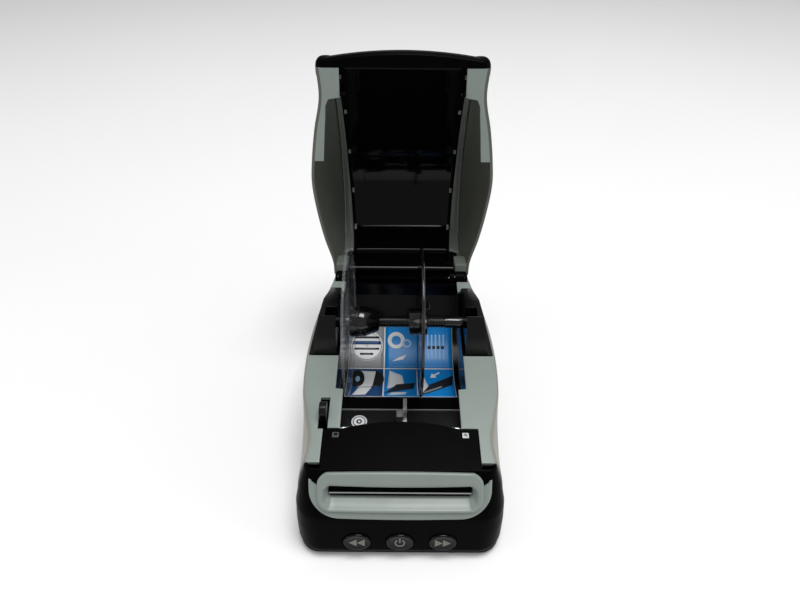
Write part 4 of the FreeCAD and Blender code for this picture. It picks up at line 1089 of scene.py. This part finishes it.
for name, colour, lift, corners in (
        ("sheet_face", "white", 0.30, [(-9.6, 256.5), (2.6, 262.5), (1.2, 272.0), (-8.4, 277.0)]),
        ("sheet_slot", "dark", 0.34, [(-11.6, 250.0), (9.0, 256.5), (10.6, 264.0), (-3.0, 262.0)]),
        ("sheet_tail", "white", 0.34, [(-9.2, 246.5), (3.4, 248.0), (4.4, 251.5), (-6.4, 251.0)]),
        ("label_sheet", "white", 0.30, [(11.6, 246.5), (22.0, 252.5), (15.6, 276.5), (11.6, 277.0)]),
        ("picture_printer", "dark", 0.34, [(13.0, 246.0), (37.5, 262.0), (38.6, 272.5), (21.0, 262.0)]),
        ("picture_slot", "grey", 0.38, [(16.0, 249.5), (30.0, 258.6), (29.6, 260.4), (16.4, 252.0)]),
        ("arrow_shaft", "white", 0.34, [(24.6, 271.4), (29.0, 274.6), (28.4, 275.8), (24.0, 272.6)]),
        ("arrow_head", "white", 0.36, [(21.6, 269.6), (26.4, 270.2), (24.6, 272.4), (23.0, 274.4)])):
    print_shape(name, colour, corners, lift)

# ------------------------------------------------------------------------------------------------
# Feed bed: polished black, with the chrome label guide on it, a black lip behind it whose top edge carries a pale strip
# as a painted highlight, and a plain round sticker with a ring mark.
# ------------------------------------------------------------------------------------------------
bed_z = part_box("feed_bed")[1].z / MM
# Pale grey of the liner clips, used also for the painted highlight along the lip's edge.
clip_grey_and_painted_glint = moulded("clip_pale_grey_and_painted_glint", (0.24, 0.25, 0.24), 0.35, grain=0.05)
softened("label_guide", 0.35, metal("guide_nickel", (0.80, 0.81, 0.82), 0.28, (1.0, 20.0, 20.0), 0.05))
# A pale strip along the top edge of the lip: a painted highlight that stands for the glint of light on that edge.
bar_between("bed_lip_painted_glint", [at(x, y, bed_z + 1.35) for x, y in ((-41, -14.6), (41, -14.6), (41, -14.1), (-41, -14.1))],
            Vector((0, 0, -1.2)) * MM, clip_grey_and_painted_glint, "base", (), 0.0)
ROUND_STICKER = (-27.5, -24.0)
bm = bmesh.new()
for lift in (0.06, 0.20):
    made = bmesh.ops.create_circle(bm, cap_ends=True, segments=48, radius=5.2 * MM)["verts"]
    bmesh.ops.translate(bm, verts=made, vec=at(*ROUND_STICKER, bed_z + lift))
part_from(bm, "round_sticker", inks["white"], "base")
for index, (outer, inner) in enumerate(((4.3, 3.7), (1.9, 0.9))):
    bm = bmesh.new()
    bmesh.ops.create_circle(bm, cap_ends=False, segments=40, radius=outer * MM)
    bmesh.ops.create_circle(bm, cap_ends=False, segments=40, radius=inner * MM)
    bmesh.ops.bridge_loops(bm, edges=bm.edges[:])
    bmesh.ops.translate(bm, verts=bm.verts, vec=at(*ROUND_STICKER, bed_z + 0.30))
    wall(part_from(bm, "round_mark_%d" % index, inks["dark"], "base"), 0.03, 0.0)

# ------------------------------------------------------------------------------------------------
# Mechanism: chassis, print head, rollers, gears, boards and sockets keep the shapes they were drawn
# with.  Each takes the finish of the real part: zinc sheet, bright steel, acetal, rubber or ceramic.
# ------------------------------------------------------------------------------------------------
rubber = moulded("roller_rubber", (0.02, 0.02, 0.021), 0.7, grain=0.6, scale=1400.0)
acetal = moulded("natural_acetal", (0.72, 0.70, 0.64), 0.38, grain=0.08)
board = moulded("board_solder_mask", (0.01, 0.11, 0.04), 0.3, grain=0.2, scale=800.0)
ceramic = moulded("glazed_ceramic", (0.68, 0.67, 0.63), 0.2, grain=0.03)
well_black = moulded("well_black_gloss", (0.0016, 0.0016, 0.002), 0.14, grain=0.03, Specular_IOR_Level=0.2)
bed_black = moulded("bed_black_polish", (0.006, 0.006, 0.007), 0.22, grain=0.05, Specular_IOR_Level=0.6)
kept = {
    "base_tray": case_black, "roll_well": well_black, "hinge_pins": steel, "case_screws": steel,
    "chassis_plates": sheet_steel, "feed_bed": bed_black, "guide_rail": steel, "main_board": board,
    "usb_socket": steel, "power_jack": case_black, "board_capacitors": case_black, "button_board": board,
    "button_switches": steel, "stepper_motor": steel, "label_sensor": case_black, "head_springs": chrome,
    "idler_axle": steel, "liner_clips": clip_grey_and_painted_glint, "lever_shaft": steel,
    "head_bracket": sheet_steel, "thermal_head": ceramic, "head_pivot_rod": steel, "platen_shaft": steel,
    "platen_rubber": rubber, "platen_gear": acetal, "idler_gear": acetal, "motor_pinion": acetal,
}
for node, material in kept.items():
    slots = frame["nodes"][node].data.materials
    if slots:
        frame["nodes"][node].material_slots[0].material = material
    else:
        slots.append(material)

# ------------------------------------------------------------------------------------------------
# Table top: a plain pale floor, faintly uneven in tone, that the soft boxes fall on.  It is part of
# the stage and not of the printer.
# ------------------------------------------------------------------------------------------------
def floor_build(position):
    """Matt white with a slow drift in tone."""
    cloud = position.noise(3.0, 2.0)
    return {"Base Color": cloud.blend((0.93, 0.93, 0.93, 1), (0.97, 0.97, 0.97, 1))}


bm = bmesh.new()
bmesh.ops.create_grid(bm, x_segments=1, y_segments=1, size=6.0)
floor_mesh = bpy.data.meshes.new("floor")
bm.to_mesh(floor_mesh)
bm.free()
floor = bpy.data.objects.new("floor", floor_mesh)
floor_mesh.materials.append(finish_material("floor_white", (0.95, 0.95, 0.95), 0.6, floor_build))
bpy.context.scene.collection.objects.link(floor)
